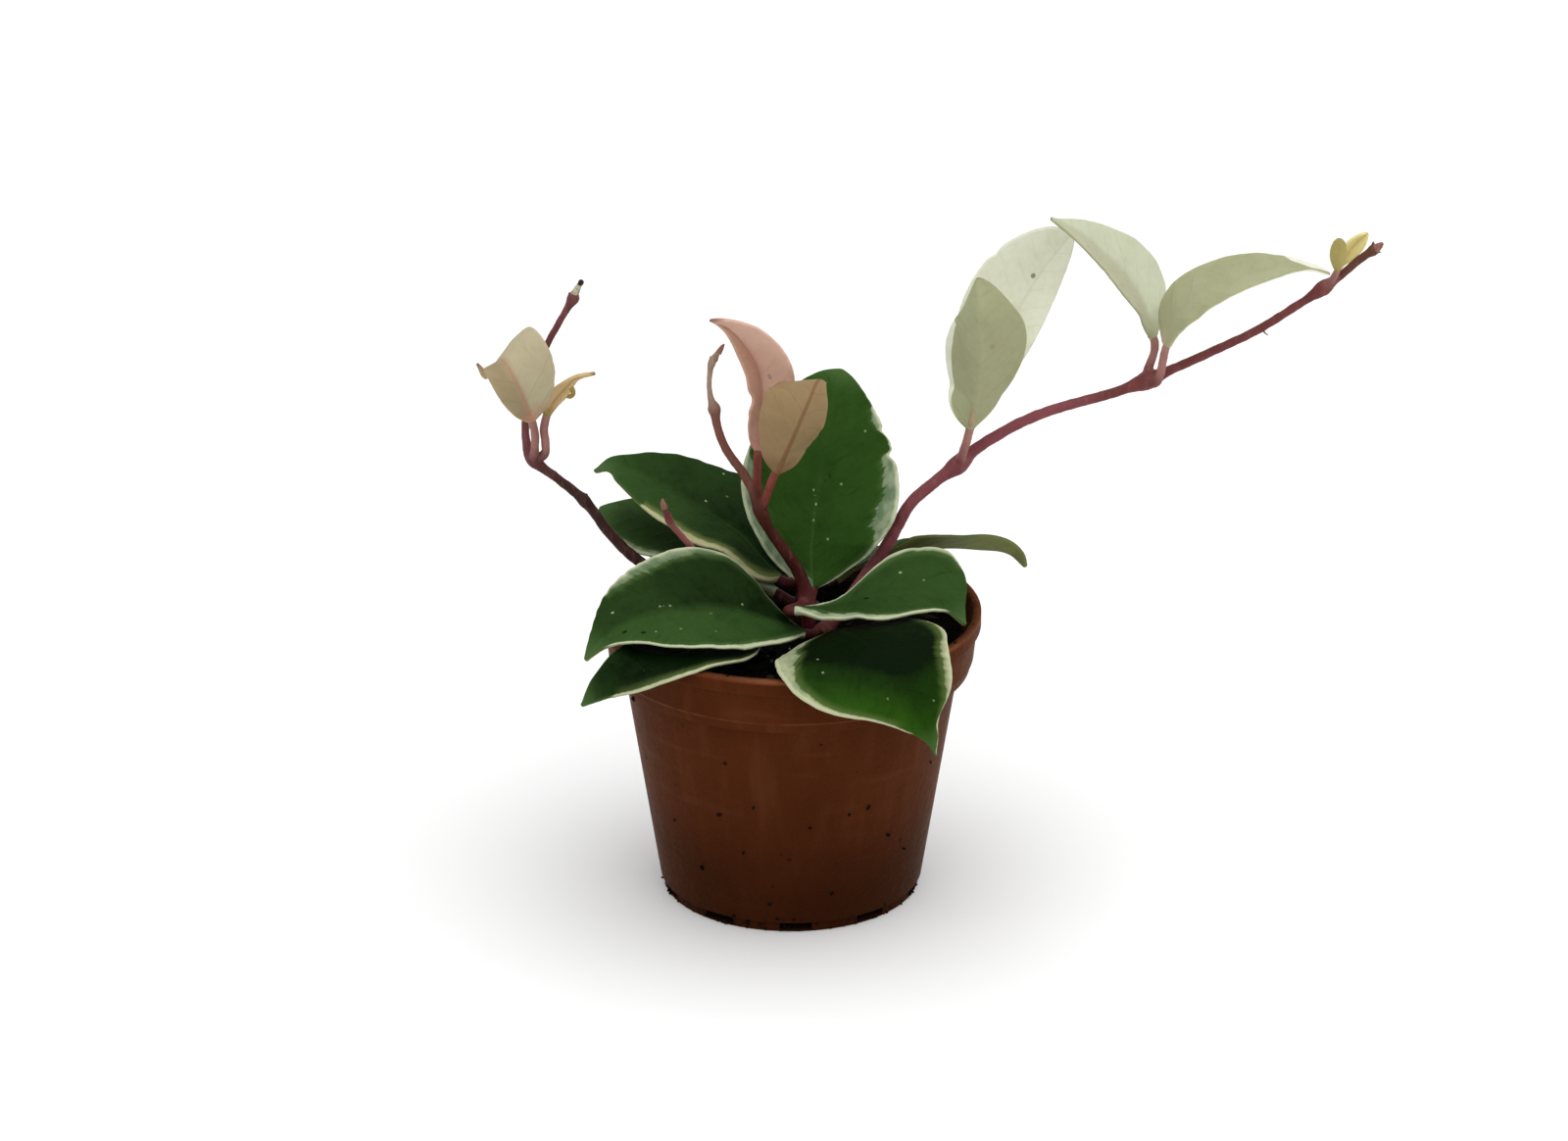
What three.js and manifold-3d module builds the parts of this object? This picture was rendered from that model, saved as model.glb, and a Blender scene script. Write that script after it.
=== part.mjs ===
// A wax plant: a young climbing vine with thick cream-edged leaves, in a round tapered nursery pot.
// Millimetres, +Z up. The origin is the middle of the pot's underside, and the plant's front faces -Y.
import * as THREE from "three";
import { mergeVertices } from "three/addons/utils/BufferGeometryUtils.js";
import Module from "manifold-3d";

const wasm = await Module();
wasm.setup();

// Driving sizes of the pot
const POT_HEIGHT = 82;
const RIM_RADIUS = 52.5;
const COLLAR_RADIUS = 49.8; // at the collar's lower edge
const COLLAR_HEIGHT = 15.2;
const SHOULDER_RADIUS = 46.4; // the body, just under the collar
const BASE_RADIUS = 36.6;
const FOOT_RADIUS = 35.6;
const FOOT_HEIGHT = 3;
const FOOT_EDGE = 0.8; // rounding under the foot
const LEDGE_FALL = 0.5; // of the collar's underside, towards the body
const WALL = 1.2;
const FLOOR = 1.6;
const ROUND_SIDES = 56;

// The bead round the rim, from its foot outside to the inner wall: steps in from the rim and down from its top
const LIP = [[1.1, 4.6], [0.2, 4], [0, 2.2], [0.3, 0.5], [0.9, 0], [1.9, 0], [2.3, 0.6]];

// Drain slots round the foot
const SLOT_COUNT = 10;
const SLOT_WIDTH = 9;
const SLOT_HEIGHT = 2.6;
const SLOT_INNER_RADIUS = 29;
const SLOT_TURN = 2; // degrees that the front slot lies off the middle

// Soil
const SOIL_TOP = 73;
const SOIL_RELIEF = 0.9;
const SOIL_STEP = 1.6; // height over the pot's inner ledge at which the soil widens
const SOIL_SIDES = 32;
const SOIL_RINGS = 6;
const GAP = 0.3; // between pieces that touch

// Leaves
const BLADE_THICKNESS = 1.5; // along the rib of a grown leaf
const YOUNG_THICKNESS = 1.1;
const MARGIN_THICKNESS = 0.9;
const TIP_HALF = 0.35; // half the width at the very tip
const FOLD_ONSET = 0.2; // share of the length over which the halves reach their fold
const WAVE_ENDS = [0.2, 0.85]; // shares between which the margins wave in full
const WAVE_SHIFT = 0.37; // of a wave, between the two margins

// Stems and stalks
const STEM_SIDES = 8;
const STEM_STEP = 5; // between the rings of a stem
const HOLE_STEP = 3;
const HOLE_DEPTH = 1; // below the stem's end
const STALK_SIDES = 6;
const STALK_STEP = 2.5;
const STALK_FLARE = 1.15; // of the radius, where the stalk leaves the stem
const STALK_BEND = 0.4; // of the stalk's length, the reach of the directions at its ends

const COLOURS = {
  pot: 0x7a3d22,
  soil: 0x1c1611,
  green: 0x1f4a1c,
  pale: 0xd3d8b8,
  pink: 0xc79a8c,
  cream: 0xc9bb92,
  bud: 0xc9b45f,
  stem: 0x7d3a40,
  woody: 0x4a2c28,
};

const vector = (p) => new THREE.Vector3(...p);
const degrees = (a) => (a * Math.PI) / 180;
const mix = THREE.MathUtils.lerp;
const ease = THREE.MathUtils.smoothstep;

// Solids

// A closed geometry through rings of points that have equal counts and run the same way round.
// With faces true, a ring is a thin blade's section: one face across, and then the other one back.
function loft(rings, faces) {
  const count = rings[0].length;
  const half = count / 2;
  const corners = rings.flat();
  const triangles = [];
  for (let i = 0; i + 1 < rings.length; i++)
    for (let k = 0; k < count; k++) {
      const [a, b] = [i * count + k, i * count + ((k + 1) % count)];
      const [c, d] = [b + count, a + count];
      if (faces && k >= half) triangles.push(a, b, d, b, c, d);
      else triangles.push(a, b, c, a, c, d);
    }
  const last = (rings.length - 1) * count;
  if (faces)
    for (let k = 0; k + 1 < half; k++) {
      const [a, b, c, d] = [k, k + 1, count - 2 - k, count - 1 - k];
      triangles.push(a, d, c, a, c, b);
      triangles.push(last + a, last + b, last + c, last + a, last + c, last + d);
    }
  else
    for (let k = 1; k + 1 < count; k++) {
      triangles.push(0, k + 1, k);
      triangles.push(last, last + k, last + k + 1);
    }
  const geometry = new THREE.BufferGeometry().setFromPoints(corners);
  geometry.setIndex(triangles);
  return geometry;
}

function solid(geometry) {
  const bare = geometry.clone();
  bare.deleteAttribute("normal");
  bare.deleteAttribute("uv");
  const merged = mergeVertices(bare, 1e-4);
  return new wasm.Manifold(
    new wasm.Mesh({
      numProp: 3,
      vertProperties: merged.attributes.position.array,
      triVerts: new Uint32Array(merged.index.array),
    }),
  );
}

function geometryOf(manifold) {
  const mesh = manifold.getMesh();
  const geometry = new THREE.BufferGeometry();
  const positions = new Float32Array(mesh.numVert * 3);
  for (let i = 0; i < mesh.numVert; i++)
    positions.set(mesh.vertProperties.subarray(i * mesh.numProp, i * mesh.numProp + 3), i * 3);
  geometry.setAttribute("position", new THREE.BufferAttribute(positions, 3));
  geometry.setIndex(new THREE.BufferAttribute(mesh.triVerts, 1));
  geometry.computeVertexNormals();
  return geometry;
}

function piece(name, geometry, colour, roughness) {
  const material = new THREE.MeshStandardMaterial({ color: colour, roughness, metalness: 0 });
  const mesh = new THREE.Mesh(geometry, material);
  mesh.name = name;
  return mesh;
}

// A lathed solid from a profile of [radius, height] that starts and ends on the axis, with +Z up.
function turned(profile, sides) {
  const points = profile.map(([r, z]) => new THREE.Vector2(r, z));
  return new THREE.LatheGeometry(points, sides).rotateX(Math.PI / 2);
}

// Pot

const collarFoot = POT_HEIGHT - COLLAR_HEIGHT;
const innerLedge = collarFoot + WALL - LEDGE_FALL;

function pot() {
  const profile = [
    [0, 0],
    [FOOT_RADIUS - FOOT_EDGE, 0],
    [FOOT_RADIUS, FOOT_EDGE],
    [FOOT_RADIUS, FOOT_HEIGHT - FOOT_EDGE / 2],
    [BASE_RADIUS, FOOT_HEIGHT],
    [SHOULDER_RADIUS, collarFoot - LEDGE_FALL],
    [COLLAR_RADIUS, collarFoot],
    ...LIP.map(([inwards, down]) => [RIM_RADIUS - inwards, POT_HEIGHT - down]),
    [COLLAR_RADIUS - WALL, collarFoot + WALL],
    [SHOULDER_RADIUS - WALL, innerLedge],
    [BASE_RADIUS - WALL, FLOOR + FOOT_EDGE],
    [BASE_RADIUS - WALL - FOOT_EDGE, FLOOR],
    [0, FLOOR],
  ];
  let body = solid(turned(profile, ROUND_SIDES));
  const depth = 2 * (FOOT_RADIUS - SLOT_INNER_RADIUS); // runs out beyond the foot
  for (let i = 0; i < SLOT_COUNT; i++) {
    const slot = new THREE.BoxGeometry(SLOT_WIDTH, depth, 2 * SLOT_HEIGHT)
      .translate(0, -SLOT_INNER_RADIUS - depth / 2, 0)
      .rotateZ(degrees(SLOT_TURN + (360 / SLOT_COUNT) * i));
    body = body.subtract(solid(slot));
  }
  return geometryOf(body);
}

// Soil

const soilRelief = (x, y) =>
  SOIL_RELIEF *
  (Math.sin(0.31 * x + 0.9) * Math.cos(0.27 * y) +
    0.6 * Math.sin(0.53 * x - 0.41 * y) +
    0.4 * Math.cos(0.83 * y + 0.29 * x));

function soil(holes) {
  const bodyRadius = SHOULDER_RADIUS - WALL - 2 * GAP;
  const topRadius = COLLAR_RADIUS - WALL - 2 * GAP;
  const profile = [
    [0, FLOOR + GAP],
    [BASE_RADIUS - WALL - 2 * FOOT_EDGE, FLOOR + GAP],
    [bodyRadius, innerLedge],
    [bodyRadius, innerLedge + SOIL_STEP],
    [topRadius, innerLedge + SOIL_STEP],
  ];
  for (let i = 0; i <= SOIL_RINGS; i++) profile.push([topRadius * (1 - i / SOIL_RINGS), SOIL_TOP]);
  const geometry = turned(profile, SOIL_SIDES);
  const corner = geometry.attributes.position;
  for (let i = 0; i < corner.count; i++) {
    const [x, y, z] = [corner.getX(i), corner.getY(i), corner.getZ(i)];
    if (z > SOIL_TOP - GAP) corner.setZ(i, z + soilRelief(x, y) - SOIL_RELIEF);
  }
  let body = solid(geometry);
  for (const hole of holes) body = body.subtract(hole);
  return geometryOf(body);
}

// Stems

const smooth = (route) => new THREE.CatmullRomCurve3(route.map(vector), false, "centripetal");

// A tube along a curve that thins from one radius to the other, with a swelling at each listed node.
function stemSolid(curve, radii, nodes, sides, step) {
  const count = Math.max(4, Math.round(curve.getLength() / step));
  const frames = curve.computeFrenetFrames(count);
  const rings = [];
  for (let i = 0; i <= count; i++) {
    const centre = curve.getPointAt(i / count);
    let radius = mix(radii[0], radii[1], i / count);
    for (const [at, swell, reach] of nodes)
      radius += swell * Math.exp(-((centre.distanceTo(vector(at)) / reach) ** 2));
    const ring = [];
    for (let k = 0; k < sides; k++) {
      const turn = (2 * Math.PI * k) / sides;
      const out = frames.normals[i].clone().multiplyScalar(Math.cos(turn));
      out.addScaledVector(frames.binormals[i], Math.sin(turn));
      ring.push(centre.clone().addScaledVector(out, radius));
    }
    rings.push(ring);
  }
  return solid(loft(rings, false));
}

// The stalk that carries a blade: from its node on the stem to the blade's foot, in line with the rib.
function stalk(leaf) {
  const rib = smooth(leaf.rib);
  const along = rib.getTangentAt(0);
  const end = rib.getPointAt(0).addScaledVector(along, -GAP);
  const start = vector(leaf.from);
  const reach = start.distanceTo(end) * STALK_BEND;
  const leave = leaf.leave ? vector(leaf.leave).normalize() : end.clone().sub(start).normalize();
  const curve = new THREE.CubicBezierCurve3(
    start,
    start.clone().addScaledVector(leave, reach),
    end.clone().addScaledVector(along, -reach),
    end,
  );
  return stemSolid(curve, [leaf.stalk * STALK_FLARE, leaf.stalk], [], STALK_SIDES, STALK_STEP);
}

// Leaves

// Half the blade's width at a share of its length, as a share of the widest: a rise up to the widest place
// and a fall from there to the tip, each drawn out by its own exponent.
function outline(share, [widest, rise, fall]) {
  if (share < widest) return Math.sin((Math.PI / 2) * (share / widest)) ** rise;
  return Math.max(0, Math.sin((Math.PI / 2) * ((1 - share) / (1 - widest)))) ** fall;
}

// The direction towards the left margin, between the listed ones.
function leftward(across, share) {
  const place = share * (across.length - 1);
  const first = Math.min(Math.floor(place), Math.max(across.length - 2, 0));
  const last = Math.min(first + 1, across.length - 1);
  return vector(across[first]).lerp(vector(across[last]), place - first);
}

// A point of the blade's middle surface: side runs from -1 at the right margin to 1 at the left one.
function bladePoint(leaf, curve, share, side) {
  const centre = curve.getPointAt(share);
  const along = curve.getTangentAt(share);
  const left = leftward(leaf.across, share);
  left.addScaledVector(along, -left.dot(along)).normalize();
  const up = along.clone().cross(left);
  const hand = side >= 0 ? 0 : 1;
  const out = Math.abs(side);
  const ends = mix(leaf.stalk, TIP_HALF, share ** 0.5);
  const half = Math.hypot(leaf.half[hand] * outline(share, leaf.shape[hand]), ends);
  const rise = degrees(leaf.fold[hand] + (leaf.cup * out) / 2) * Math.min(1, share / FOLD_ONSET);
  const wave = leaf.wave * out * out * Math.sin(2 * Math.PI * (leaf.waves * share + WAVE_SHIFT * hand));
  const settle = ease(share, 0, WAVE_ENDS[0]) * (1 - ease(share, WAVE_ENDS[1], 1));
  const point = centre.addScaledVector(left, Math.sign(side) * out * half * Math.cos(rise));
  point.addScaledVector(up, out * half * Math.sin(rise) + wave * settle);
  return { point, up };
}

function blade(leaf) {
  const curve = smooth(leaf.rib);
  const [stations, columns] = leaf.grid;
  const rings = [];
  for (let i = 0; i <= stations; i++) {
    const share = i / stations;
    const top = [];
    const bottom = [];
    for (let j = 0; j <= columns; j++) {
      const side = 1 - (2 * j) / columns;
      const { point, up } = bladePoint(leaf, curve, share, side);
      const thick = mix(leaf.thick, MARGIN_THICKNESS, Math.abs(side)) / 2;
      top.push(point.clone().addScaledVector(up, thick));
      bottom.unshift(point.clone().addScaledVector(up, -thick));
    }
    rings.push([...top, ...bottom]);
  }
  return loft(rings, true);
}

// Kinds of leaf: how far the margins cup in degrees, the height and count of their waves, the thickness along
// the rib, the stalk's radius, the shapes of the two halves, and the grid of stations and columns.
const EVEN = [0.44, 0.85, 0.95];
const PAIR = [EVEN, EVEN];
const grown = {
  cup: 6,
  wave: 0.5,
  waves: 2.5,
  thick: BLADE_THICKNESS,
  stalk: 1.5,
  shape: PAIR,
  grid: [11, 6],
};
const young = {
  cup: 8,
  wave: 0.3,
  waves: 2,
  thick: YOUNG_THICKNESS,
  stalk: 1.2,
  shape: PAIR,
  grid: [11, 4],
};
const tiny = {
  cup: 10,
  wave: 0,
  waves: 1,
  thick: MARGIN_THICKNESS,
  stalk: 0.8,
  shape: PAIR,
  grid: [6, 4],
};

// Each leaf: its rib from foot to tip, the way to its left margin from foot to tip, its half widths on the
// left and right hand, the angles that they rise by, and where its stalk starts and which way it leaves.
const LEAVES = [
  {
    ...grown,
    name: "leaf_front_left",
    colour: COLOURS.green,
    rib: [[3.6, -9, 78], [-6, -12.5, 83.2], [-18, -16, 87.8], [-31, -21, 89.6], [-43, -25, 88.2],
      [-51, -28, 84], [-56, -30, 78.8]],
    across: [[0, -0.95, -0.28]],
    half: [22, 21.3],
    shape: [[0.5, 0.95, 0.9], [0.47, 1.4, 0.95]],
    fold: [8, 9],
    from: [9, -1, 76.5],
  },
  {
    ...grown,
    name: "leaf_front_left_lower",
    colour: COLOURS.green,
    rib: [[-10, -9, 77], [-18, -24, 81.5], [-29, -36, 83.6], [-41, -43, 82], [-51, -44, 76.8],
      [-56.5, -43, 71]],
    across: [[0.7, -0.7, -0.12]],
    half: [12, 15],
    fold: [0, -6],
    from: [-9, 0, 77],
  },
  {
    ...grown,
    name: "leaf_front_right",
    colour: COLOURS.green,
    rib: [[11.5, -9, 77.5], [13.7, -25, 84.7], [18.6, -40, 88.7], [24.2, -51, 87.6], [30.6, -58, 81.8],
      [34.8, -60.5, 73.8], [38.5, -59, 63.6]],
    across: [[0.88, 0.47, 0], [0.9, 0.4, 0]],
    half: [22.3, 26],
    shape: [[0.5, 0.45, 1.2], [0.55, 0.75, 2.1]],
    fold: [1, -14],
    from: [9, -1, 76.5],
  },
  {
    ...grown,
    name: "leaf_right",
    colour: COLOURS.green,
    rib: [[0.9, -11, 85.5], [10.5, -12, 87.1], [21, -12, 89.4], [33, -13, 90.9], [42, -14, 89.4],
      [47.6, -16, 83.3]],
    across: [[0, 1, 0.1]],
    half: [18, 16],
    shape: [[0.72, 3, 1.25], [0.5, 1.1, 0.8]],
    fold: [20, 4],
    from: [4.4, 1, 83],
    leave: [-0.4, -1, 0.12],
  },
  {
    ...grown,
    name: "leaf_back_right",
    colour: COLOURS.green,
    rib: [[12, 15, 84.5], [20, 19, 87.4], [30, 24, 89], [42, 28, 89], [54, 32, 87.2], [62, 35, 84.4],
      [66.5, 37, 79.4]],
    across: [[-0.35, 0.85, -0.4]],
    half: [14, 14],
    shape: [EVEN, [0.44, 0.85, 0.9]],
    fold: [8, 8],
    from: [3, 12.8, 84],
  },
  {
    ...grown,
    name: "leaf_upright",
    colour: COLOURS.green,
    rib: [[6, 4, 86], [5.5, 7, 93], [6, 11, 102], [8, 17, 114], [10, 24, 126.5], [12.5, 31, 135.5],
      [14, 35.5, 139]],
    across: [[-1, 0, 0]],
    half: [24, 24.5],
    shape: [[0.44, 0.9, 0.8], [0.4, 0.65, 0.8]],
    fold: [24, 20],
    from: [4, 1, 83],
  },
  {
    ...grown,
    name: "leaf_back_left_upper",
    colour: COLOURS.green,
    rib: [[-3, 12, 85.6], [-8, 15, 90], [-15, 20, 96], [-25, 25, 101], [-34, 28, 106], [-43, 29, 110.6],
      [-50.5, 29, 113.5], [-55, 28, 111.4]],
    across: [[-0.2, -0.85, -0.45]],
    half: [20.5, 18.5],
    shape: [[0.55, 0.6, 0.65], [0.42, 0.45, 1.4]],
    fold: [22, -4],
    from: [3, 12.8, 84],
  },
  {
    ...grown,
    name: "leaf_back_left_lower",
    colour: COLOURS.green,
    rib: [[-4, 17, 79.4], [-18, 25, 87], [-34, 30, 94], [-45, 32, 97], [-54, 33, 98.4]],
    across: [[0, -1, 0]],
    half: [18.2, 16],
    shape: [[0.72, 0.8, 0.6], [0.62, 0.85, 0.8]],
    fold: [-13, 2],
    from: [2.4, 13.5, 77],
  },
  {
    ...grown,
    name: "leaf_back",
    colour: COLOURS.green,
    rib: [[3.5, 20, 78], [6, 29, 81.6], [10, 41, 85.4], [14, 52, 83.6], [17, 60, 76]],
    across: [[-1, 0.2, 0]],
    half: [13, 10],
    fold: [4, 4],
    from: [2.6, 13.4, 77],
  },
  {
    ...grown,
    name: "leaf_back_left_trailing",
    colour: COLOURS.green,
    rib: [[-10.5, 14, 77], [-16, 24, 78.6], [-24, 36, 83.8], [-33, 46, 84.8], [-38, 53, 79], [-40, 56, 74]],
    across: [[-1, -0.3, 0]],
    half: [12, 9],
    fold: [2, 2],
    from: [-8, 1, 76],
  },
  {
    ...young,
    name: "pink_leaf_back",
    colour: COLOURS.pink,
    rib: [[-9, 0, 128], [-8.5, 2, 135], [-8, 3, 141], [-9, 4, 150], [-13, 3, 158], [-17.5, 0, 164],
      [-22, -4, 167.5]],
    across: [[-1, 0, 0], [-1, 0, -0.1], [-0.8, 0.1, -0.8]],
    half: [6, 13],
    shape: [[0.3, 0.6, 1.2], [0.6, 0.75, 0.4]],
    fold: [50, 34],
    from: [-8.4, -5, 113],
    leave: [-0.2, 0.9, 0.3],
  },
  {
    ...young,
    name: "pink_leaf_front",
    colour: COLOURS.pink,
    rib: [[-4, -12, 127], [-1.2, -15, 134.2], [2.2, -16.5, 142.6], [5.1, -14.3, 148.6], [6.8, -10, 151.2],
      [8, -7, 151], [9, -4.8, 148.8]],
    across: [[0.9, 0, 0.3], [0.95, 0, -0.12]],
    half: [8.6, 12.2],
    shape: [[0.34, 0.5, 1.1], [0.68, 0.6, 0.4]],
    fold: [30, 10],
    from: [-8.2, -6, 113],
  },
  {
    ...young,
    name: "cream_leaf_broad",
    colour: COLOURS.cream,
    rib: [[-71, 5.5, 135], [-72.8, 2.5, 142], [-75.5, 1, 149], [-78, 3, 152.6], [-80, 7, 151.5],
      [-82.8, 9.5, 147.4], [-86, 11, 149.6]],
    across: [[-0.9, -0.3, -0.3], [-0.75, -0.35, -0.55], [-0.6, -0.4, -0.7]],
    half: [6.5, 12.5],
    shape: [[0.45, 0.6, 1], [0.6, 0.55, 5]],
    fold: [8, 4],
    from: [-71.2, 12.4, 121],
    leave: [0.1, -0.6, 0.5],
  },
  {
    ...young,
    name: "cream_leaf_curled",
    colour: COLOURS.bud,
    rib: [[-67.1, 9, 135.1], [-65.1, 9.5, 139.2], [-62.1, 9.5, 142.8], [-58.8, 9, 146],
      [-53.5, 8.5, 147.6]],
    across: [[-0.7, 0, 0.7]],
    half: [2.9, 2.1],
    shape: [[0.36, 0.8, 2.4], [0.36, 0.8, 2.4]],
    fold: [30, 30],
    from: [-70, 12.4, 121.2],
    leave: [0.8, -0.3, 0.3],
  },
  {
    ...young,
    name: "pale_leaf_near",
    colour: COLOURS.pale,
    rib: [[48.8, 3, 133.8], [50.3, 0.5, 146], [51, -1, 158], [51, 0, 168], [50.5, 5, 176.5]],
    across: [[1, 0, 0]],
    half: [15, 14],
    shape: [[0.55, 0.9, 0.6], [0.45, 0.7, 0.9]],
    fold: [26, 48],
    from: [46.5, 8, 122],
    leave: [0, -0.8, 0.6],
  },
  {
    ...young,
    name: "pale_leaf_far",
    colour: COLOURS.pale,
    rib: [[50, 14, 132], [54.5, 18, 144], [61, 23, 158], [69, 27, 171], [77, 26, 182.5]],
    across: [[-1, 0, 0.3]],
    half: [16.5, 8],
    shape: [[0.55, 0.8, 0.4], [0.5, 0.9, 0.6]],
    fold: [12, 12],
    from: [47, 8, 123],
    leave: [0.2, 0.7, 0.6],
  },
  {
    ...young,
    name: "pale_leaf_arched",
    colour: COLOURS.pale,
    rib: [[99.2, 15, 155.5], [96.2, 16, 164], [91.2, 17, 172.5], [84.2, 17, 180], [78, 16, 185.6],
      [70.3, 15, 190]],
    across: [[-0.4, -0.8, -0.3]],
    half: [11, 14.5],
    shape: [EVEN, [0.28, 0.8, 1.25]],
    fold: [20, -4],
    from: [97.5, 12, 145],
    leave: [0, 0.4, 1],
  },
  {
    ...young,
    name: "pale_leaf_reaching",
    colour: COLOURS.pale,
    rib: [[102, 6, 156.4], [104.2, 5.5, 164.4], [110.5, 5, 171.4], [121, 5, 176.4], [133.5, 6, 178.6],
      [141, 7, 178.2], [146, 8, 176.4]],
    across: [[-0.3, 0.9, 0.3]],
    half: [9, 8.5],
    shape: [[0.3, 0.45, 0.9], [0.34, 0.7, 1.8]],
    fold: [5, 5],
    from: [98, 10.5, 144],
    leave: [0.6, -0.8, 0.1],
  },
  {
    ...tiny,
    name: "bud_leaf_near",
    colour: COLOURS.bud,
    rib: [[148.2, 10, 177], [148.2, 9, 182], [148.3, 9, 186.3]],
    across: [[1, 0, 0]],
    half: [2.4, 2.4],
    shape: [[0.5, 0.6, 0.4], [0.5, 0.6, 0.4]],
    fold: [16, 16],
    from: [145.2, 13, 170.8],
  },
  {
    ...tiny,
    name: "bud_leaf_far",
    colour: COLOURS.bud,
    rib: [[149.6, 17, 175.6], [152.4, 17.5, 180.2], [156.9, 18, 184.8]],
    across: [[-0.8, 0, 0.4]],
    half: [3.4, 2.8],
    shape: [[0.55, 0.8, 0.7], [0.55, 0.8, 0.7]],
    fold: [34, 34],
    from: [145.6, 13, 171],
  },
];

// Each vine: its route from inside the soil to its growing tip, the radii there, its swollen nodes as place,
// swelling and reach, and the leaves that it carries.
const VINES = [
  {
    name: "vine_left",
    colour: COLOURS.woody,
    route: [[-7, 1, 60], [-8, 1, 73], [-13, 3, 78], [-28, 7, 83.5], [-43, 10, 92.4], [-50, 11, 99.4],
      [-57.2, 12, 109], [-64.1, 12, 115.2], [-71.2, 12.4, 121.2], [-73, 14, 125.6], [-73.2, 16, 130.5],
      [-71.5, 18, 138.7], [-68.1, 18, 150.2], [-64.4, 18, 157.6], [-60.1, 18, 165.2], [-58.5, 18, 168]],
    radii: [1.9, 0.9],
    nodes: [[[-8, 1, 76], 0.9, 3], [[-57.2, 12, 109], 0.4, 2], [[-71.2, 12.4, 121.2], 0.9, 3],
      [[-59.7, 18, 166], 0.9, 2]],
    carries: ["leaf_front_left_lower", "leaf_back_left_trailing", "cream_leaf_broad", "cream_leaf_curled"],
  },
  {
    name: "vine_middle",
    colour: COLOURS.stem,
    route: [[5, 2, 60], [5, 2, 73], [4.4, 1, 82.5], [3.6, 0.6, 88], [1.7, 0, 93.2], [-1.8, -2, 99.6],
      [-6.1, -4, 106.9], [-8.5, -6, 113.2], [-10.8, -6, 119.6], [-13.4, -6, 124.5], [-16.2, -6, 128.4],
      [-18.7, -5, 132.6], [-20.1, -5, 137.1], [-21, -4, 142], [-22.1, -4, 145.8], [-22.2, -3, 150.7],
      [-21.4, -3, 155.2], [-18.8, -2, 158.7]],
    radii: [2, 0.95],
    nodes: [[[4.4, 1, 83], 0.8, 3], [[-8.4, -5.8, 113], 0.7, 3], [[-21, -4, 142], 0.8, 1.6],
      [[-21.4, -3, 155.2], 0.4, 1.5]],
    carries: ["leaf_upright", "leaf_right", "pink_leaf_back", "pink_leaf_front"],
  },
  {
    name: "vine_right",
    colour: COLOURS.stem,
    route: [[8, -1, 60], [9, -1, 74], [13, 3, 79], [17, 5, 83.8], [21.7, 7, 90.4], [26, 7.5, 96.7],
      [29.3, 8, 103.1], [32.8, 8, 109.6], [38.8, 8.2, 115.4], [45.6, 8.5, 120.7], [50.6, 8.7, 125.4],
      [56, 9, 129], [64.1, 9, 133.7], [72.7, 9.3, 137.1], [81.2, 9.6, 139.5], [89.8, 10, 142],
      [97, 11, 144.5], [103.5, 11.5, 147.4], [111.1, 12, 150.8], [119.6, 12.3, 154.8],
      [128.1, 12.6, 159.2], [136.5, 13, 164.7], [144.5, 13, 170.4], [149.5, 13, 174.4], [154.7, 13, 179.1],
      [159.3, 13, 182.4]],
    radii: [1.8, 1.1],
    nodes: [[[9, -1, 76], 0.9, 3], [[46, 8.5, 121], 1.1, 3.5], [[97.3, 11, 144.6], 1.3, 4],
      [[144.8, 13, 170.4], 1, 3], [[158.5, 13, 181.8], 0.6, 1.6]],
    carries: ["leaf_front_left", "leaf_front_right", "pale_leaf_near", "pale_leaf_far", "pale_leaf_arched",
      "pale_leaf_reaching", "bud_leaf_near", "bud_leaf_far"],
  },
  {
    name: "vine_back",
    colour: COLOURS.stem,
    route: [[2, 14, 60], [2, 14, 72], [3, 13, 80], [3, 12.5, 87]],
    radii: [1.9, 1.3],
    nodes: [[[2, 13.5, 77], 0.8, 3], [[3, 13, 84], 0.8, 3]],
    carries: ["leaf_back_right", "leaf_back_left_upper", "leaf_back_left_lower", "leaf_back"],
  },
  {
    name: "shoot_young",
    colour: COLOURS.stem,
    route: [[-19, 11.5, 60], [-19, 11.5, 73], [-20.5, 9.5, 81], [-23.5, 6, 90.6], [-28, 2.2, 99.6],
      [-33.2, 0, 107.3], [-35.2, -0.4, 113.2]],
    radii: [1.6, 1.1],
    nodes: [[[-33.6, -0.1, 108.2], 0.5, 1.6]],
    carries: [],
  },
];

function vine(plan) {
  let body = stemSolid(smooth(plan.route), plan.radii, plan.nodes, STEM_SIDES, STEM_STEP);
  for (const leaf of LEAVES.filter((l) => plan.carries.includes(l.name))) body = body.add(stalk(leaf));
  return body;
}

// The plain hole in the soil that a stem stands in.
function stemHole(plan) {
  const [[x, y, z], ...upwards] = plan.route.slice(0, 3);
  const wide = plan.radii[0] + 2 * GAP;
  const curve = smooth([[x, y, z - HOLE_DEPTH], ...upwards]);
  return stemSolid(curve, [wide, wide], plan.nodes, STEM_SIDES, HOLE_STEP);
}

const plant = new THREE.Group();
plant.add(piece("pot", pot(), COLOURS.pot, 0.55));
plant.add(piece("soil", soil(VINES.map(stemHole)), COLOURS.soil, 0.95));
for (const plan of VINES) plant.add(piece(plan.name, geometryOf(vine(plan)), plan.colour, 0.6));
for (const leaf of LEAVES) plant.add(piece(leaf.name, blade(leaf), leaf.colour, 0.45));

export default plant;
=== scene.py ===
import math
import random

import bmesh
import bpy
from mathutils import Matrix, Vector, noise
from mathutils.kdtree import KDTree


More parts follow.
